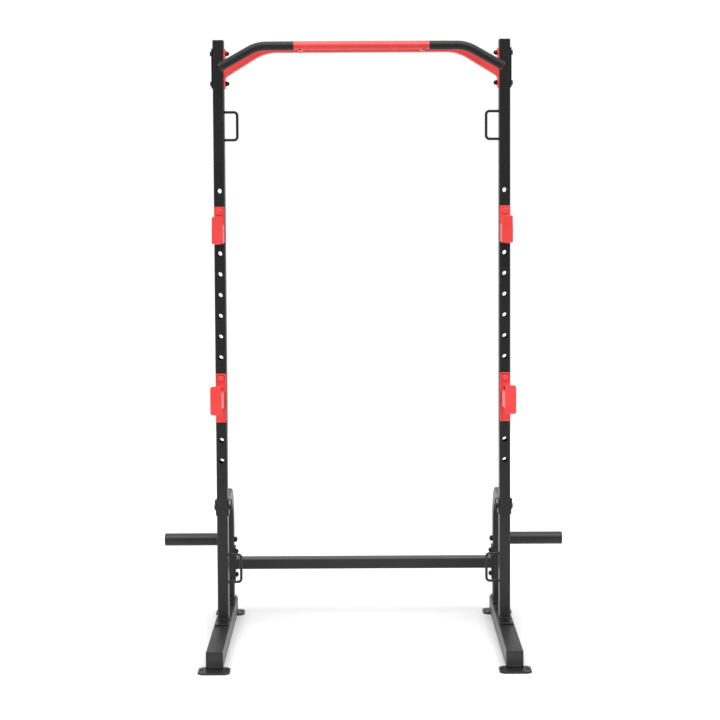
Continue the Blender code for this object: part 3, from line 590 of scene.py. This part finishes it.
def lid(width, depth, base, facing):
    """Plastic tube cap: a plug, and a lid with round edges and a shallow dished middle."""
    def outline(smaller):
        corner = max(TUBE_CORNER - smaller, LEAST_CORNER)
        return round_rectangle(width - 2 * smaller, depth - 2 * smaller, corner)

    plug = TUBE_WALL + PLUG_GAP
    layers = [(outline(plug + PLUG_TAPER), -PLUG_DEPTH), (outline(plug), PLUG_TAPER - PLUG_DEPTH),
              (outline(plug), 0.0), (outline(LID_INSET), 0.0)]
    for step in range(5):
        turn = step / 4 * math.pi / 2
        layers.append((outline(LID_INSET + LID_EDGE * (1 - math.cos(turn))),
                       LID - LID_EDGE * (1 - math.sin(turn))))
    layers += [(outline(DISH_START), LID), (outline(DISH_START + DISH_SLOPE), LID - DISH_DEPTH),
               (outline(DISH_FLAT), LID - DISH_DEPTH)]
    return shell(stack(layers, base, facing))


# Base

def skid_and_feet():
    front, rear = right_box("front_skid_cap")[0], right_box("rear_skid_cap")[1]
    top = right_box("base_skid")[1].z
    x = middle("base_skid").x
    start, end = front.y + LID, rear.y - LID
    body = tube(SKID, SKID, (x, start, top - SKID / 2), (x, end, top - SKID / 2), "rear")
    on_both_sides("skid_tube", body, "black_coat", node="base_skid", edge=TUBE_EDGE)
    for end_name, y, facing in (("front", start, "front"), ("rear", end, "rear")):
        on_both_sides(f"{end_name}_skid_lid", lid(SKID, SKID, (x, y, top - SKID / 2), facing),
                      "black_plastic", node=f"{end_name}_skid_cap")
        low, high = right_box(f"{end_name}_foot_pad")
        outlines = foot_outlines(high.x - low.x, high.y - low.y)
        centre = (low + high) / 2
        on_both_sides(f"{end_name}_foot_rubber",
                      plate(outlines, high.z - low.z, (centre.x, centre.y, low.z)),
                      "foot_rubber", node=f"{end_name}_foot_pad", edge=EDGE)
        base = right_box("base_skid")[0].z
        thick = top - SKID - base
        on_both_sides(f"{end_name}_foot_plate",
                      plate(outlines, thick, (centre.x, centre.y, base)), "black_coat", edge=EDGE)
        near, far = max(low.y, start), min(high.y, end)
        runs = [bead([(x + side * SKID / 2, near + BEAD, base + thick),
                      (x + side * SKID / 2, far - BEAD, base + thick)], (0, 0, 1))
                for side in (-1, 1)]
        on_both_sides(f"{end_name}_foot_weld", joined(runs), "black_coat")


def foot_outlines(width, length):
    """Plate with cut corners and a floor-anchor slot on each side."""
    half_w, half_l, chamfer = width / 2, length / 2, FOOT_CHAMFER
    quarter = ((half_w, half_l - chamfer), (half_w - chamfer, half_l))
    outline = []
    for sx, sy in ((1, 1), (-1, 1), (-1, -1), (1, -1)):
        corner = [Vector((sx * px, sy * py)) for px, py in quarter]
        outline += corner if sx * sy > 0 else corner[::-1]
    slot = round_rectangle(2 * SLOT_RADIUS, SLOT_LENGTH, NEARLY_ROUND * SLOT_RADIUS, 8)
    return [outline, moved(slot, -SLOT_X), moved(slot, SLOT_X)]


def base_plate(name, span, top, bolt_y, node=None):
    """Bolted foot plate of a column."""
    low, high = span
    x, y = (low.x + high.x) / 2, (low.y + high.y) / 2
    outline = round_rectangle(high.x - low.x, high.y - low.y, FOOT_CORNER)
    hole = circle(BOLT_HOLE, 24, (0, bolt_y - y))
    mesh = plate([outline, hole], PLATE, (x, y, top - PLATE))
    on_both_sides(name, mesh, "black_coat", node=node, edge=EDGE)


# Side frame

def upright():
    low, high = right_box("upright")
    centre = (low + high) / 2
    width, depth = high.x - low.x, high.y - low.y
    mesh = tube(width, depth, (centre.x, centre.y, low.z), (centre.x, centre.y, high.z))
    first = middle("spotter_arm_pin").z - SPOTTER_HOLE * HOLE_PITCH
    drills = []
    for index in range(HOLE_COUNT):
        base = (centre.x, low.y - PLATE, first + index * HOLE_PITCH)
        drills.append(lathe([(HOLE_RADIUS, 0.0), (HOLE_RADIUS, depth + 2 * PLATE)], base, "rear"))
    on_both_sides("upright_tube", cut(mesh, drills), "black_coat", node="upright",
                  edge=TUBE_EDGE)
    on_both_sides("upright_lid", lid(width, depth, (centre.x, centre.y, high.z), "up"),
                  "black_plastic", node="upright_cap")
    flange = right_box("upright_flange")
    base_plate("upright_base_plate", flange, flange[1].z, middle("upright_flange_bolt").y,
               "upright_flange")
    loop = bead_loop(width, depth, TUBE_CORNER, (centre.x, centre.y, flange[1].z + BEAD_OUT))
    on_both_sides("upright_weld", loop, "black_coat")


def rear_leg():
    low, high = right_box("rear_leg")
    post_low, post_high = right_box("upright")
    width, depth = post_high.x - post_low.x, post_high.y - post_low.y
    x = (low.x + high.x) / 2
    flange_top = right_box("upright_flange")[1].z
    column_y = middle("storage_post").y
    brace_z = middle("clamp_bolt").z
    back = post_high.y + CLAMP_WALL
    path = round_path([(x, column_y, flange_top), (x, column_y, brace_z), (x, back, brace_z)],
                      LEG_BEND, 20)
    mesh = shell(*[sweep_rings(path, tube_section(width, depth, wall), (1, 0, 0))
                   for wall in (0.0, TUBE_WALL)])
    on_both_sides("leg_tube", mesh, "black_coat", node="rear_leg", edge=TUBE_EDGE)
    span = (Vector((low.x, high.y - LEG_PLATE_LENGTH, 0)), Vector((high.x, high.y, 0)))
    base_plate("leg_base_plate", span, flange_top, middle("leg_flange_bolt").y)
    welds = [bead_loop(width, depth, TUBE_CORNER, (x, column_y, flange_top + BEAD_OUT)),
             bead_loop(depth, width, TUBE_CORNER, (x, back + BEAD_OUT, brace_z), "rear")]
    on_both_sides("leg_weld", joined(welds), "black_coat")
    clamp_bracket(x, width, post_high.y, post_low.y + CLAMP_SETBACK, brace_z)


def clamp_bracket(x, width, post_back, front, z):
    """U bracket bent round the back of the upright."""
    inner, outer = width / 2 + CLAMP_GAP, width / 2 + CLAMP_WALL
    back = post_back + CLAMP_GAP
    inside = round_path([(-inner, front, 0), (-inner, back, 0), (inner, back, 0),
                         (inner, front, 0)], CLAMP_BEND, 5)
    outside = round_path([(outer, front, 0), (outer, back + CLAMP_WALL, 0),
                          (-outer, back + CLAMP_WALL, 0), (-outer, front, 0)],
                         CLAMP_BEND + CLAMP_WALL, 8)
    mesh = plate([outside + inside], CLAMP_HEIGHT, (x, 0, z - CLAMP_HEIGHT / 2))
    on_both_sides("leg_clamp", mesh, "black_coat", edge=EDGE)


def storage_post():
    low, high = right_box("storage_post")
    tip = right_box("storage_post_cap")[1].x
    centre = (low + high) / 2
    radius = (high.z - low.z) / 2
    bore, length = radius - POST_WALL, high.x - low.x
    profile = [(BOLT_HOLE, 0), (radius - EDGE, 0), (radius, EDGE), (radius, length - EDGE),
               (radius - EDGE, length), (bore, length), (bore, POST_FLOOR),
               (BOLT_HOLE, POST_FLOOR)]
    rings = stack([(circle(r, 48), h) for r, h in profile], (low.x, centre.y, centre.z), "right")
    on_both_sides("post_tube", shell(rings, hoop=True), "black_coat", node="storage_post",
                  sharp=40)
    cap = [(bore - PLUG_TAPER, -POST_PLUG_DEPTH),
           (bore - POST_PLUG_GAP, PLUG_TAPER - POST_PLUG_DEPTH),
           (bore - POST_PLUG_GAP, 0.0), (radius, 0.0)]
    for step in range(7):
        turn = step / 6 * math.pi / 2
        cap.append((radius - POST_LID_EDGE * (1 - math.cos(turn)),
                    LID - POST_LID_EDGE * (1 - math.sin(turn))))
    dish, dish_slope, dish_depth = radius - 0.0070, 0.0008, 0.0006
    cap += [(dish, LID), (dish - dish_slope, LID - dish_depth), (0.002, LID - dish_depth)]
    on_both_sides("post_lid", lathe(cap, (tip - LID, centre.y, centre.z), "right", 48),
                  "black_plastic", node="storage_post_cap", sharp=40)


def band_loops():
    for level in ("upper", "lower"):
        low, high = right_box(f"{level}_band_loop")
        rod = (high.y - low.y) / 2
        y = (low.y + high.y) / 2
        corners = [(high.x, y, low.z + rod), (low.x + rod, y, low.z + rod),
                   (low.x + rod, y, high.z - rod), (high.x, y, high.z - rod)]
        path = round_path(corners, LOOP_BEND, 10)
        mesh = shell(sweep_rings(path, circle(rod, 20), (0, 1, 0)))
        on_both_sides(f"{level}_loop_rod", mesh, "black_coat", node=f"{level}_band_loop", sharp=50)
        rings = [round_bead(rod, (high.x, y, z), "left", LOOP_BEAD)
                 for z in (low.z + rod, high.z - rod)]
        on_both_sides(f"{level}_loop_weld", joined(rings), "black_coat")


# Crossbar

def crossbar():
    low, high = box("rear_crossbar")
    bolts = [middle(f"crossbar_{level}_bolt").z for level in ("lower", "upper")]
    z, y = (low.z + high.z) / 2, (low.y + high.y) / 2
    inner = high.x - PLATE
    mesh = tube(CROSSBAR_DEPTH, FLAT_TUBE, (-inner, y, z), (inner, y, z), "right")
    add_piece("crossbar_tube", mesh, "black_coat", stands_for=["rear_crossbar"], edge=TUBE_EDGE)
    outline = round_rectangle(CROSSBAR_DEPTH - PLATE_SHORT, high.z - low.z, TUBE_CORNER)
    holes = [circle(BOLT_HOLE, 24, (0, bolt - z)) for bolt in bolts]
    on_both_sides("crossbar_end_plate", plate([outline, *holes], PLATE, (inner, y, z), "right"),
                  "black_coat", edge=EDGE)
    weld = bead_loop(CROSSBAR_DEPTH - WELD_SHORT, FLAT_TUBE, TUBE_CORNER,
                     (inner - BEAD_OUT, y, z), "left")
    on_both_sides("crossbar_weld", weld, "black_coat")


# Pull-up assembly

def pull_up_plates():
    for name, node, slot in (("pull_up_side_plate", "pull_up_plate", "red_coat"),
                             ("pull_up_backing_plate", "backing_plate", "black_coat")):
        low, high = right_box(node)
        centre = (low + high) / 2
        outline = round_rectangle(high.y - low.y, high.z - low.z, TUBE_CORNER, 8)
        holes = [circle(BOLT_HOLE, 24, (0, middle(f"pull_up_{level}_bolt").z - centre.z))
                 for level in ("lower", "upper")]
        mesh = plate([outline, *holes], high.x - low.x, (low.x, centre.y, centre.z), "right")
        on_both_sides(name, mesh, slot, node=node, edge=EDGE)


def onto_plane(ring, direction, axis, place):
    """Points of a ring slid along a direction to a plane across an axis, 0 for X or 1 for Y."""
    return [point + direction * (place - point[axis]) / direction[axis] for point in ring]


def pull_up_beam():
    low, high = box("pull_up_beam")
    plate_low, plate_high = right_box("pull_up_plate")
    depth = plate_high.y - plate_low.y
    y, z, end = (plate_low.y + plate_high.y) / 2, high.z - FLAT_TUBE / 2, high.x
    drop = (end - BEAM_BEND_X) * math.tan(BEAM_SLOPE)
    corners = [(-end, y, z - drop), (-BEAM_BEND_X, y, z), (BEAM_BEND_X, y, z), (end, y, z - drop)]
    path = round_path(corners, BEAM_BEND, 12)
    slope = Vector((math.cos(BEAM_SLOPE), 0, -math.sin(BEAM_SLOPE)))
    skins = []
    for wall in (0.0, TUBE_WALL):
        rings = sweep_rings(path, tube_section(depth, FLAT_TUBE, wall), (0, 1, 0))
        rings[0] = onto_plane(rings[0], Vector((-slope.x, 0, slope.z)), 0, -end)
        rings[-1] = onto_plane(rings[-1], slope, 0, end)
        skins.append(rings)
    add_piece("beam_tube", shell(*skins), "red_coat", stands_for=["pull_up_beam"], edge=TUBE_EDGE)
    section = round_rectangle(depth - WELD_SHORT, FLAT_TUBE, TUBE_CORNER, 4)
    foot = onto_plane(sweep_rings(path, section, (0, 1, 0))[-1], slope, 0, end - BEAD_OUT)
    on_both_sides("beam_weld", bead(foot, (1, 0, 0), closed=True), "red_coat")
    bar_low, bar_high = box("pull_up_front_bar")
    bar_y = (bar_low.y + bar_high.y) / 2
    radius = (bar_high.y - bar_low.y) / 2
    link_z = z - LINK_DROP
    root = (LINK_X, plate_low.y, link_z)
    reach = plate_low.y - bar_y - radius / 2
    mesh = lathe([(LINK_RADIUS, 0.0), (LINK_RADIUS, reach)], root, "front", 40)
    on_both_sides("bar_link", mesh, "red_coat", sharp=50)
    on_both_sides("link_weld", round_bead(LINK_RADIUS, root, "front"), "red_coat")
    saddle_weld(bar_y, bar_high.z - radius, radius, link_z)


def saddle_weld(bar_y, bar_z, radius, link_z):
    """Bead where a link meets the round front bar, following the curve of the bar."""
    points = []
    for spot in circle(LINK_RADIUS, 48):
        z = link_z + spot.y
        depth = math.sqrt(max(radius ** 2 - (z - bar_z) ** 2, 0.0))
        points.append(Vector((LINK_X + spot.x, bar_y + depth, z)))
    on_both_sides("saddle_weld", bead(points, (0, 1, 0), closed=True, radius=ARM_BEAD), "red_coat")


def bar_path(start_x, end_x, y, z):
    drop = (end_x - BAR_BEND_X) * math.tan(BAR_SLOPE)
    return round_path([(start_x, y, z), (BAR_BEND_X, y, z), (end_x, y, z - drop)], BAR_BEND, 14)


def front_bar():
    low, high = box("pull_up_front_bar")
    radius = (high.y - low.y) / 2
    y, z = (low.y + high.y) / 2, high.z - radius
    grip_low, grip_high = right_box("pull_up_grip")
    grip = (grip_high.y - grip_low.y) / 2
    end = grip_high.x - grip * math.sin(BAR_SLOPE)
    right = bar_path(0.0, end, y, z)
    left = [Vector((-point.x, point.y, point.z)) for point in reversed(right[1:])]
    path = left + right
    bar = shell(sweep_rings(path, circle(radius, 40), (0, 1, 0)),
                sweep_rings(path, circle(radius - TUBE_WALL, 40), (0, 1, 0)))
    add_piece("front_bar_tube", bar, "red_coat", stands_for=["pull_up_front_bar"], sharp=50)
    sleeve = bar_path(grip_low.x, end - BAR_PAST_GRIP * math.cos(BAR_SLOPE), y, z)
    on_both_sides("grip_sleeve", grip_sleeve(sleeve, grip, radius), "grip_rubber",
                  node="pull_up_grip", sharp=60)
    direction = (right[-1] - right[-2]).normalized()
    depths, scales, gap = (PLUG_DEPTH, 0.0015, 0.0009), (1.0, 1.0, 0.86), 0.0002
    plug_path = [right[-1] - direction * depth for depth in depths]
    plug = shell(sweep_rings(plug_path, circle(radius - TUBE_WALL - gap, 40), (0, 1, 0), scales))
    on_both_sides("bar_plug", plug, "black_plastic", sharp=50)


def grip_sleeve(path, radius, bore):
    """Sleeve along a path, its ends rounded over and its bore on the bar."""
    first = (path[1] - path[0]).normalized()
    last = (path[-1] - path[-2]).normalized()
    turns = [step / 4 * math.pi / 2 for step in range(5)]
    points = [path[0] + first * GRIP_EDGE * (1 - math.cos(turn)) for turn in turns]
    scales = [1 - GRIP_EDGE / radius * (1 - math.sin(turn)) for turn in turns]
    points += path[1:-1]
    scales += [1.0] * (len(path) - 2)
    points += [path[-1] - last * GRIP_EDGE * (1 - math.sin(turn)) for turn in turns]
    scales += [1 - GRIP_EDGE / radius * (1 - math.cos(turn)) for turn in turns]
    outer = sweep_rings(points, circle(radius, 40), (0, 1, 0), scales)
    inner = sweep_rings(points, circle(bore + GRIP_GAP, 40), (0, 1, 0))
    return shell(outer, inner)


# J-hooks and spotter arms

def pin(what):
    """Round pin welded through the back plate, with a turned head in front."""
    low, high = right_box(f"{what}_pin")
    centre = (low + high) / 2
    head = (high.z - low.z) / 2
    front, length = low.y, high.y - low.y
    profile = [(0.0015, 0.0006), (0.0030, 0.0)]         # centre mark
    for step in range(8):
        turn = step / 7 * math.pi / 2
        profile.append((head - PIN_DOME * (1 - math.sin(turn)), PIN_DOME * (1 - math.cos(turn))))
    profile += [(head, PIN_HEAD), (PIN_RADIUS, PIN_HEAD)]
    for smaller, from_end in ((0.0, 0.003), (0.0008, 0.0012), (0.0026, 0.0)):
        profile.append((PIN_RADIUS - smaller, length - from_end))
    mesh = lathe(profile, (centre.x, front, centre.z), "rear", 40)
    on_both_sides(f"{what}_pin_rod", mesh, "red_coat", body=what, node=f"{what}_pin", sharp=40)
    ring = round_bead(head, (centre.x, front + PIN_HEAD, centre.z), "front", PIN_BEAD)
    on_both_sides(f"{what}_pin_weld", ring, "red_coat", body=what)


def j_hook():
    low, high = right_box("j_hook")
    x = (low.x + high.x) / 2
    pin_z = middle("j_hook_pin").z
    body = {"body": "j_hook"}
    plate_low = pin_z - HOOK_PLATE_DROP
    centre_z = (plate_low + high.z) / 2
    back = plate([round_rectangle(high.x - low.x, high.z - plate_low, HOOK_CORNER)], PLATE,
                 (x, high.y, centre_z), "front")
    on_both_sides("j_hook_back", back, "red_coat", node="j_hook", edge=EDGE, **body)
    top = pin_z - HOOK_ARM_DROP
    bottom = top - HOOK_ARM_HEIGHT
    arm_front, arm_back = low.y + PLATE / 2, high.y - PLATE
    half, wall = HOOK_ARM_WIDTH / 2, HOOK_ARM_WALL
    outside = round_path([(half, bottom, 0), (half, top, 0), (-half, top, 0), (-half, bottom, 0)],
                         HOOK_ARM_OUTER_BEND, 8)
    inside = round_path([(wall - half, bottom, 0), (wall - half, top - wall, 0),
                         (half - wall, top - wall, 0), (half - wall, bottom, 0)],
                        HOOK_ARM_INNER_BEND, 5)
    arm = plate([outside + inside], arm_back - arm_front, (x, arm_back, 0), "front")
    on_both_sides("j_hook_arm", arm, "red_coat", edge=EDGE, **body)
    lip = plate([lip_outline(high.x - low.x, low.z, low.z + HOOK_LIP_HEIGHT)], PLATE,
                (x, low.y + PLATE, 0), "front")
    on_both_sides("j_hook_lip", lip, "red_coat", edge=LIP_EDGE, **body)
    runs = []
    for y in (arm_back, low.y + PLATE):
        for side in (-1, 1):
            edge_x = x + side * half
            runs.append(bead([(edge_x, y, bottom + BEAD), (edge_x, y, top - 2 * BEAD)],
                             (1, 0, 0), radius=ARM_BEAD))
        runs.append(bead([(x - half + 3 * BEAD, y, top), (x + half - 3 * BEAD, y, top)],
                         (0, 0, 1), radius=ARM_BEAD))
    on_both_sides("j_hook_weld", joined(runs), "red_coat", **body)
    pin("j_hook")


def lip_outline(width, low, high):
    """Lip with cut lower corners and slightly cut upper ones, all rounded off."""
    half, chamfer, top = width / 2, HOOK_LIP_CHAMFER, HOOK_LIP_TOP
    corners = [(0, low, 0), (half - chamfer, low, 0), (half, low + chamfer, 0),
               (half, high - top, 0), (half - top, high, 0), (top - half, high, 0),
               (-half, high - top, 0), (-half, low + chamfer, 0), (chamfer - half, low, 0),
               (0, low, 0)]
    return round_path(corners, HOOK_CORNER, 4)[:-1]


def spotter_arm():
    low, high = right_box("spotter_arm")
    x = (low.x + high.x) / 2
    pin_z = middle("spotter_arm_pin").z
    body = {"body": "spotter_arm"}
    tray = spotter_tray(x, high.y, SPOTTER_WIDTH, pin_z + SPOTTER_PLATE_LOW,
                        pin_z + SPOTTER_PLATE_HIGH)
    sight_z = pin_z - SIGHT_DROP
    sight = lathe([(SIGHT_RADIUS, 0.0), (SIGHT_RADIUS, 6 * PLATE)],
                  (x, high.y - 4 * PLATE, sight_z), "rear")
    on_both_sides("spotter_bracket", cut(tray, [sight]), "red_coat", node="spotter_arm",
                  edge=TRAY_EDGE, **body)
    front, back = low.y + PLATE / 2, high.y - SPOTTER_BACK
    rise = Vector((0, -math.cos(SPOTTER_SLOPE), math.sin(SPOTTER_SLOPE)))
    root_z = pin_z - SPOTTER_ARM_DROP - SPOTTER_BACK / 2 * math.tan(SPOTTER_SLOPE)
    start = Vector((x, back, root_z))
    path = [start, start + rise * (back - front) / math.cos(SPOTTER_SLOPE)]
    skins = []
    for wall in (0.0, TUBE_WALL):
        section = tube_section(SPOTTER_ARM_WIDTH, SPOTTER_ARM_HEIGHT, wall)
        rings = sweep_rings(path, section, (1, 0, 0))
        rings[0] = onto_plane(rings[0], rise, 1, back)
        rings[1] = onto_plane(rings[1], rise, 1, front)
        skins.append(rings)
    on_both_sides("spotter_tube", shell(*skins), "red_coat", edge=TUBE_EDGE, **body)
    lip_z = pin_z + SPOTTER_LIP_TOP - SPOTTER_LIP_HEIGHT / 2
    lip = plate([round_rectangle(high.x - low.x, SPOTTER_LIP_HEIGHT, SPOTTER_LIP_CORNER, 8)],
                PLATE, (x, low.y + PLATE, lip_z), "front")
    on_both_sides("spotter_lip", lip, "red_coat", edge=LIP_EDGE, **body)
    beads = []
    for ring, shift in ((skins[0][0], -BEAD_OUT), (skins[0][1], BEAD_OUT + PLATE / 2)):
        beads.append(bead([point + Vector((0, shift, 0)) for point in ring], (0, 1, 0),
                          closed=True, radius=ARM_BEAD))
    on_both_sides("spotter_weld", joined(beads), "red_coat", **body)
    pin("spotter_arm")


def spotter_tray(x, back, width, low, high):
    """Pressed back plate with a raised rim, its edge rolled over."""
    height, wall = high - low, SPOTTER_RIM_WALL
    layers = []

    def layer(smaller, out):
        radius = max(TUBE_CORNER - smaller, LEAST_CORNER)
        layers.append((round_rectangle(width - 2 * smaller, height - 2 * smaller, radius, 6), out))

    layer(TRAY_EDGE, 0.0)
    layer(0.0, TRAY_EDGE)
    for step in range(9):
        turn = step / 8 * math.pi
        layer(wall / 2 * (1 - math.cos(turn)), SPOTTER_RIM - wall / 2 * (1 - math.sin(turn)))
    for inward, off_floor in TRAY_FILLET:
        layer(wall + inward, SPOTTER_BACK + off_floor)
    return shell(stack(layers, (x, back, (low + high) / 2), "front"))


# Fasteners

def hex_layers(flats, low, high, both_ends):
    """Layers of a hexagon, its corners turned to a cone at the top or at both ends."""
    corner, start = flats / math.sqrt(3), flats / 2 * HEX_FACE
    slope = math.tan(HEX_CHAMFER)
    layers = []
    for step in range(5):
        limit = start + (corner - start) * step / 4
        layers.append((hexagon(flats, limit), high - (limit - start) * slope))
    if both_ends:
        for step in range(4, -1, -1):
            limit = start + (corner - start) * step / 4
            layers.append((hexagon(flats, limit), low + (limit - start) * slope))
    else:
        layers.append((hexagon(flats, corner), low))
    return layers[::-1]


def bolt(size, node, facing, domed=False):
    """Bolt with washer, shank and nut along the node's box, its head towards the facing."""
    radius, flats = size
    low, high = right_box(node)
    centre = (low + high) / 2
    axis = FACING[facing] @ Vector((0, 0, 1))
    length = abs((high - low).dot(axis))
    base = centre - axis * length / 2
    head, nut = HEAD_PER_RADIUS * radius, NUT_PER_RADIUS * radius
    seat = length - head - WASHER
    tail = flats / 2 if domed else STUB
    washer_radius = WASHER_PER_HEAD * flats / math.sqrt(3)
    meshes = [shell(stack(hex_layers(flats, seat + WASHER, length, False), base, facing)),
              lathe([(washer_radius - 0.0003, seat), (washer_radius, seat + WASHER_EDGE),
                     (washer_radius, seat + WASHER - WASHER_EDGE),
                     (washer_radius - WASHER_EDGE, seat + WASHER)], base, facing, 40),
              lathe([(radius, tail + BURIED), (radius, seat + WASHER)], base, facing),
              shell(stack(hex_layers(flats, tail, tail + nut, not domed), base, facing))]
    if domed:
        meshes.append(lathe(dome(flats / 2, tail), base, facing, 40))
    else:
        meshes.append(lathe(thread(radius, tail), base, facing))
    on_both_sides(f"{node}_set", joined(meshes), "bolt_steel", node=node, sharp=28)


def dome(reach, height):
    """Profile of a domed nut's cap, which runs a little way into its hexagon."""
    ball, sink = reach - 0.0006, 0.0004
    turns = [math.radians(degrees) for degrees in range(6, 97, 9)]
    return [(ball * math.sin(turn), height + sink - (ball - sink) * math.cos(turn))
            for turn in turns]


def thread(radius, length):
    """Profile of the thread that shows past a nut."""
    profile = [(radius * 0.78, 0.0), (radius * 0.84, 0.0004)]
    for index in range(int(length / THREAD_PITCH)):
        start = 0.0006 + index * THREAD_PITCH
        profile.append((radius, start + 0.25 * THREAD_PITCH))
        profile.append((radius * 0.86, start + 0.75 * THREAD_PITCH))
    return profile + [(radius, length + BURIED)]


def fasteners():
    for node in ("upright_flange_bolt", "leg_flange_bolt"):
        bolt(M10, node, "up")
    bolt(M10, "clamp_bolt", "right")
    bolt(M12, "storage_post_bolt", "right")
    for level in ("lower", "upper"):
        bolt(M10, f"crossbar_{level}_bolt", "right")
        bolt(M10, f"pull_up_{level}_bolt", "right", domed=True)


skid_and_feet()
upright()
rear_leg()
storage_post()
band_loops()
crossbar()
pull_up_plates()
pull_up_beam()
front_bar()
j_hook()
spotter_arm()
fasteners()


# Floor, light and camera

FLOOR_SIZE, FLOOR_IN_FRONT, FLOOR_Z = 8.0, 2.6, -0.0002
FLOOR_GREY, FLOOR_ROUGHNESS, FLOOR_IOR = 0.74, 0.75, 1.3
FRONT_GLOW, REAR_GLOW, SEEN_GLOW, GLOW_START = 0.20, 0.86, 1.05, -0.15
LENS, SENSOR, SHIFT = 94.3, 36.0, (0.0042, -0.11)
CAMERA_PLACE, CAMERA_PITCH, CAMERA_ROLL = (-0.020, -6.842, 1.758), 3.62, -0.29


def floor():
    """Pale studio floor: it ends a little way in front, and runs on behind."""
    bm = bmesh.new()
    bmesh.ops.create_grid(bm, x_segments=1, y_segments=1, size=FLOOR_SIZE / 2)
    bmesh.ops.translate(bm, vec=(0, FLOOR_SIZE / 2 - FLOOR_IN_FRONT, FLOOR_Z), verts=bm.verts)
    mesh = finish_mesh(bm)
    material, shader = new_material("pale_floor", FLOOR_ROUGHNESS, ior=FLOOR_IOR)
    shader.inputs["Base Color"].default_value = (FLOOR_GREY, FLOOR_GREY, FLOOR_GREY, 1.0)
    mesh.materials.append(material)
    item = bpy.data.objects.new("floor", mesh)
    bpy.context.scene.collection.objects.link(item)


def sun(name, direction, strength, angle):
    """Soft lamp that shines along a direction; its angle, in degrees, is how wide it looks."""
    lamp = bpy.data.lights.new(name, "SUN")
    lamp.energy = strength
    lamp.angle = math.radians(angle)
    item = bpy.data.objects.new(name, lamp)
    item.rotation_euler = Vector(direction).to_track_quat("-Z", "Y").to_euler()
    bpy.context.scene.collection.objects.link(item)


def world():
    """Pale surroundings, dimmer in front than behind, which the camera sees as white."""
    scene = bpy.context.scene
    surroundings = bpy.data.worlds.new("studio")
    scene.world = surroundings
    surroundings.use_nodes = True
    tree = surroundings.node_tree
    background = tree.nodes["Background"]
    seen = tree.nodes.new("ShaderNodeLightPath")
    place = tree.nodes.new("ShaderNodeTexCoord")
    split = tree.nodes.new("ShaderNodeSeparateXYZ")
    tree.links.new(place.outputs["Generated"], split.inputs[0])
    depth = tree.nodes.new("ShaderNodeMapRange")
    for socket, number in (("From Min", GLOW_START), ("From Max", 1.0),
                           ("To Min", FRONT_GLOW), ("To Max", REAR_GLOW)):
        depth.inputs[socket].default_value = number
    tree.links.new(split.outputs["Y"], depth.inputs["Value"])
    strength = tree.nodes.new("ShaderNodeMix")
    strength.inputs["B"].default_value = SEEN_GLOW
    tree.links.new(seen.outputs["Is Camera Ray"], strength.inputs[0])
    tree.links.new(depth.outputs["Result"], strength.inputs["A"])
    tree.links.new(strength.outputs[0], background.inputs["Strength"])
    background.inputs["Color"].default_value = (1.0, 1.0, 1.0, 1.0)
    scene.view_settings.view_transform = "Standard"


def camera():
    """Long lens at head height in front of the rack, a little off level."""
    lens = bpy.data.cameras.new("camera")
    lens.lens, lens.sensor_width = LENS, SENSOR
    lens.shift_x, lens.shift_y = SHIFT
    item = bpy.data.objects.new("camera", lens)
    item.location = CAMERA_PLACE
    down, roll = math.radians(CAMERA_PITCH), math.radians(CAMERA_ROLL)
    item.rotation_euler = (Matrix.Rotation(math.pi / 2 - down, 3, "X")
                           @ Matrix.Rotation(roll, 3, "Z")).to_euler()
    bpy.context.scene.collection.objects.link(item)
    bpy.context.scene.camera = item


floor()
sun("top_light", (0.0, 0.10, -1.0), strength=2.5, angle=76)
sun("key_light", (0.0, 0.55, -1.0), strength=1.0, angle=44)
sun("left_light", (1.0, 0.90, -0.70), strength=1.25, angle=68)
sun("right_light", (-1.0, 0.90, -0.70), strength=1.25, angle=68)
world()
camera()
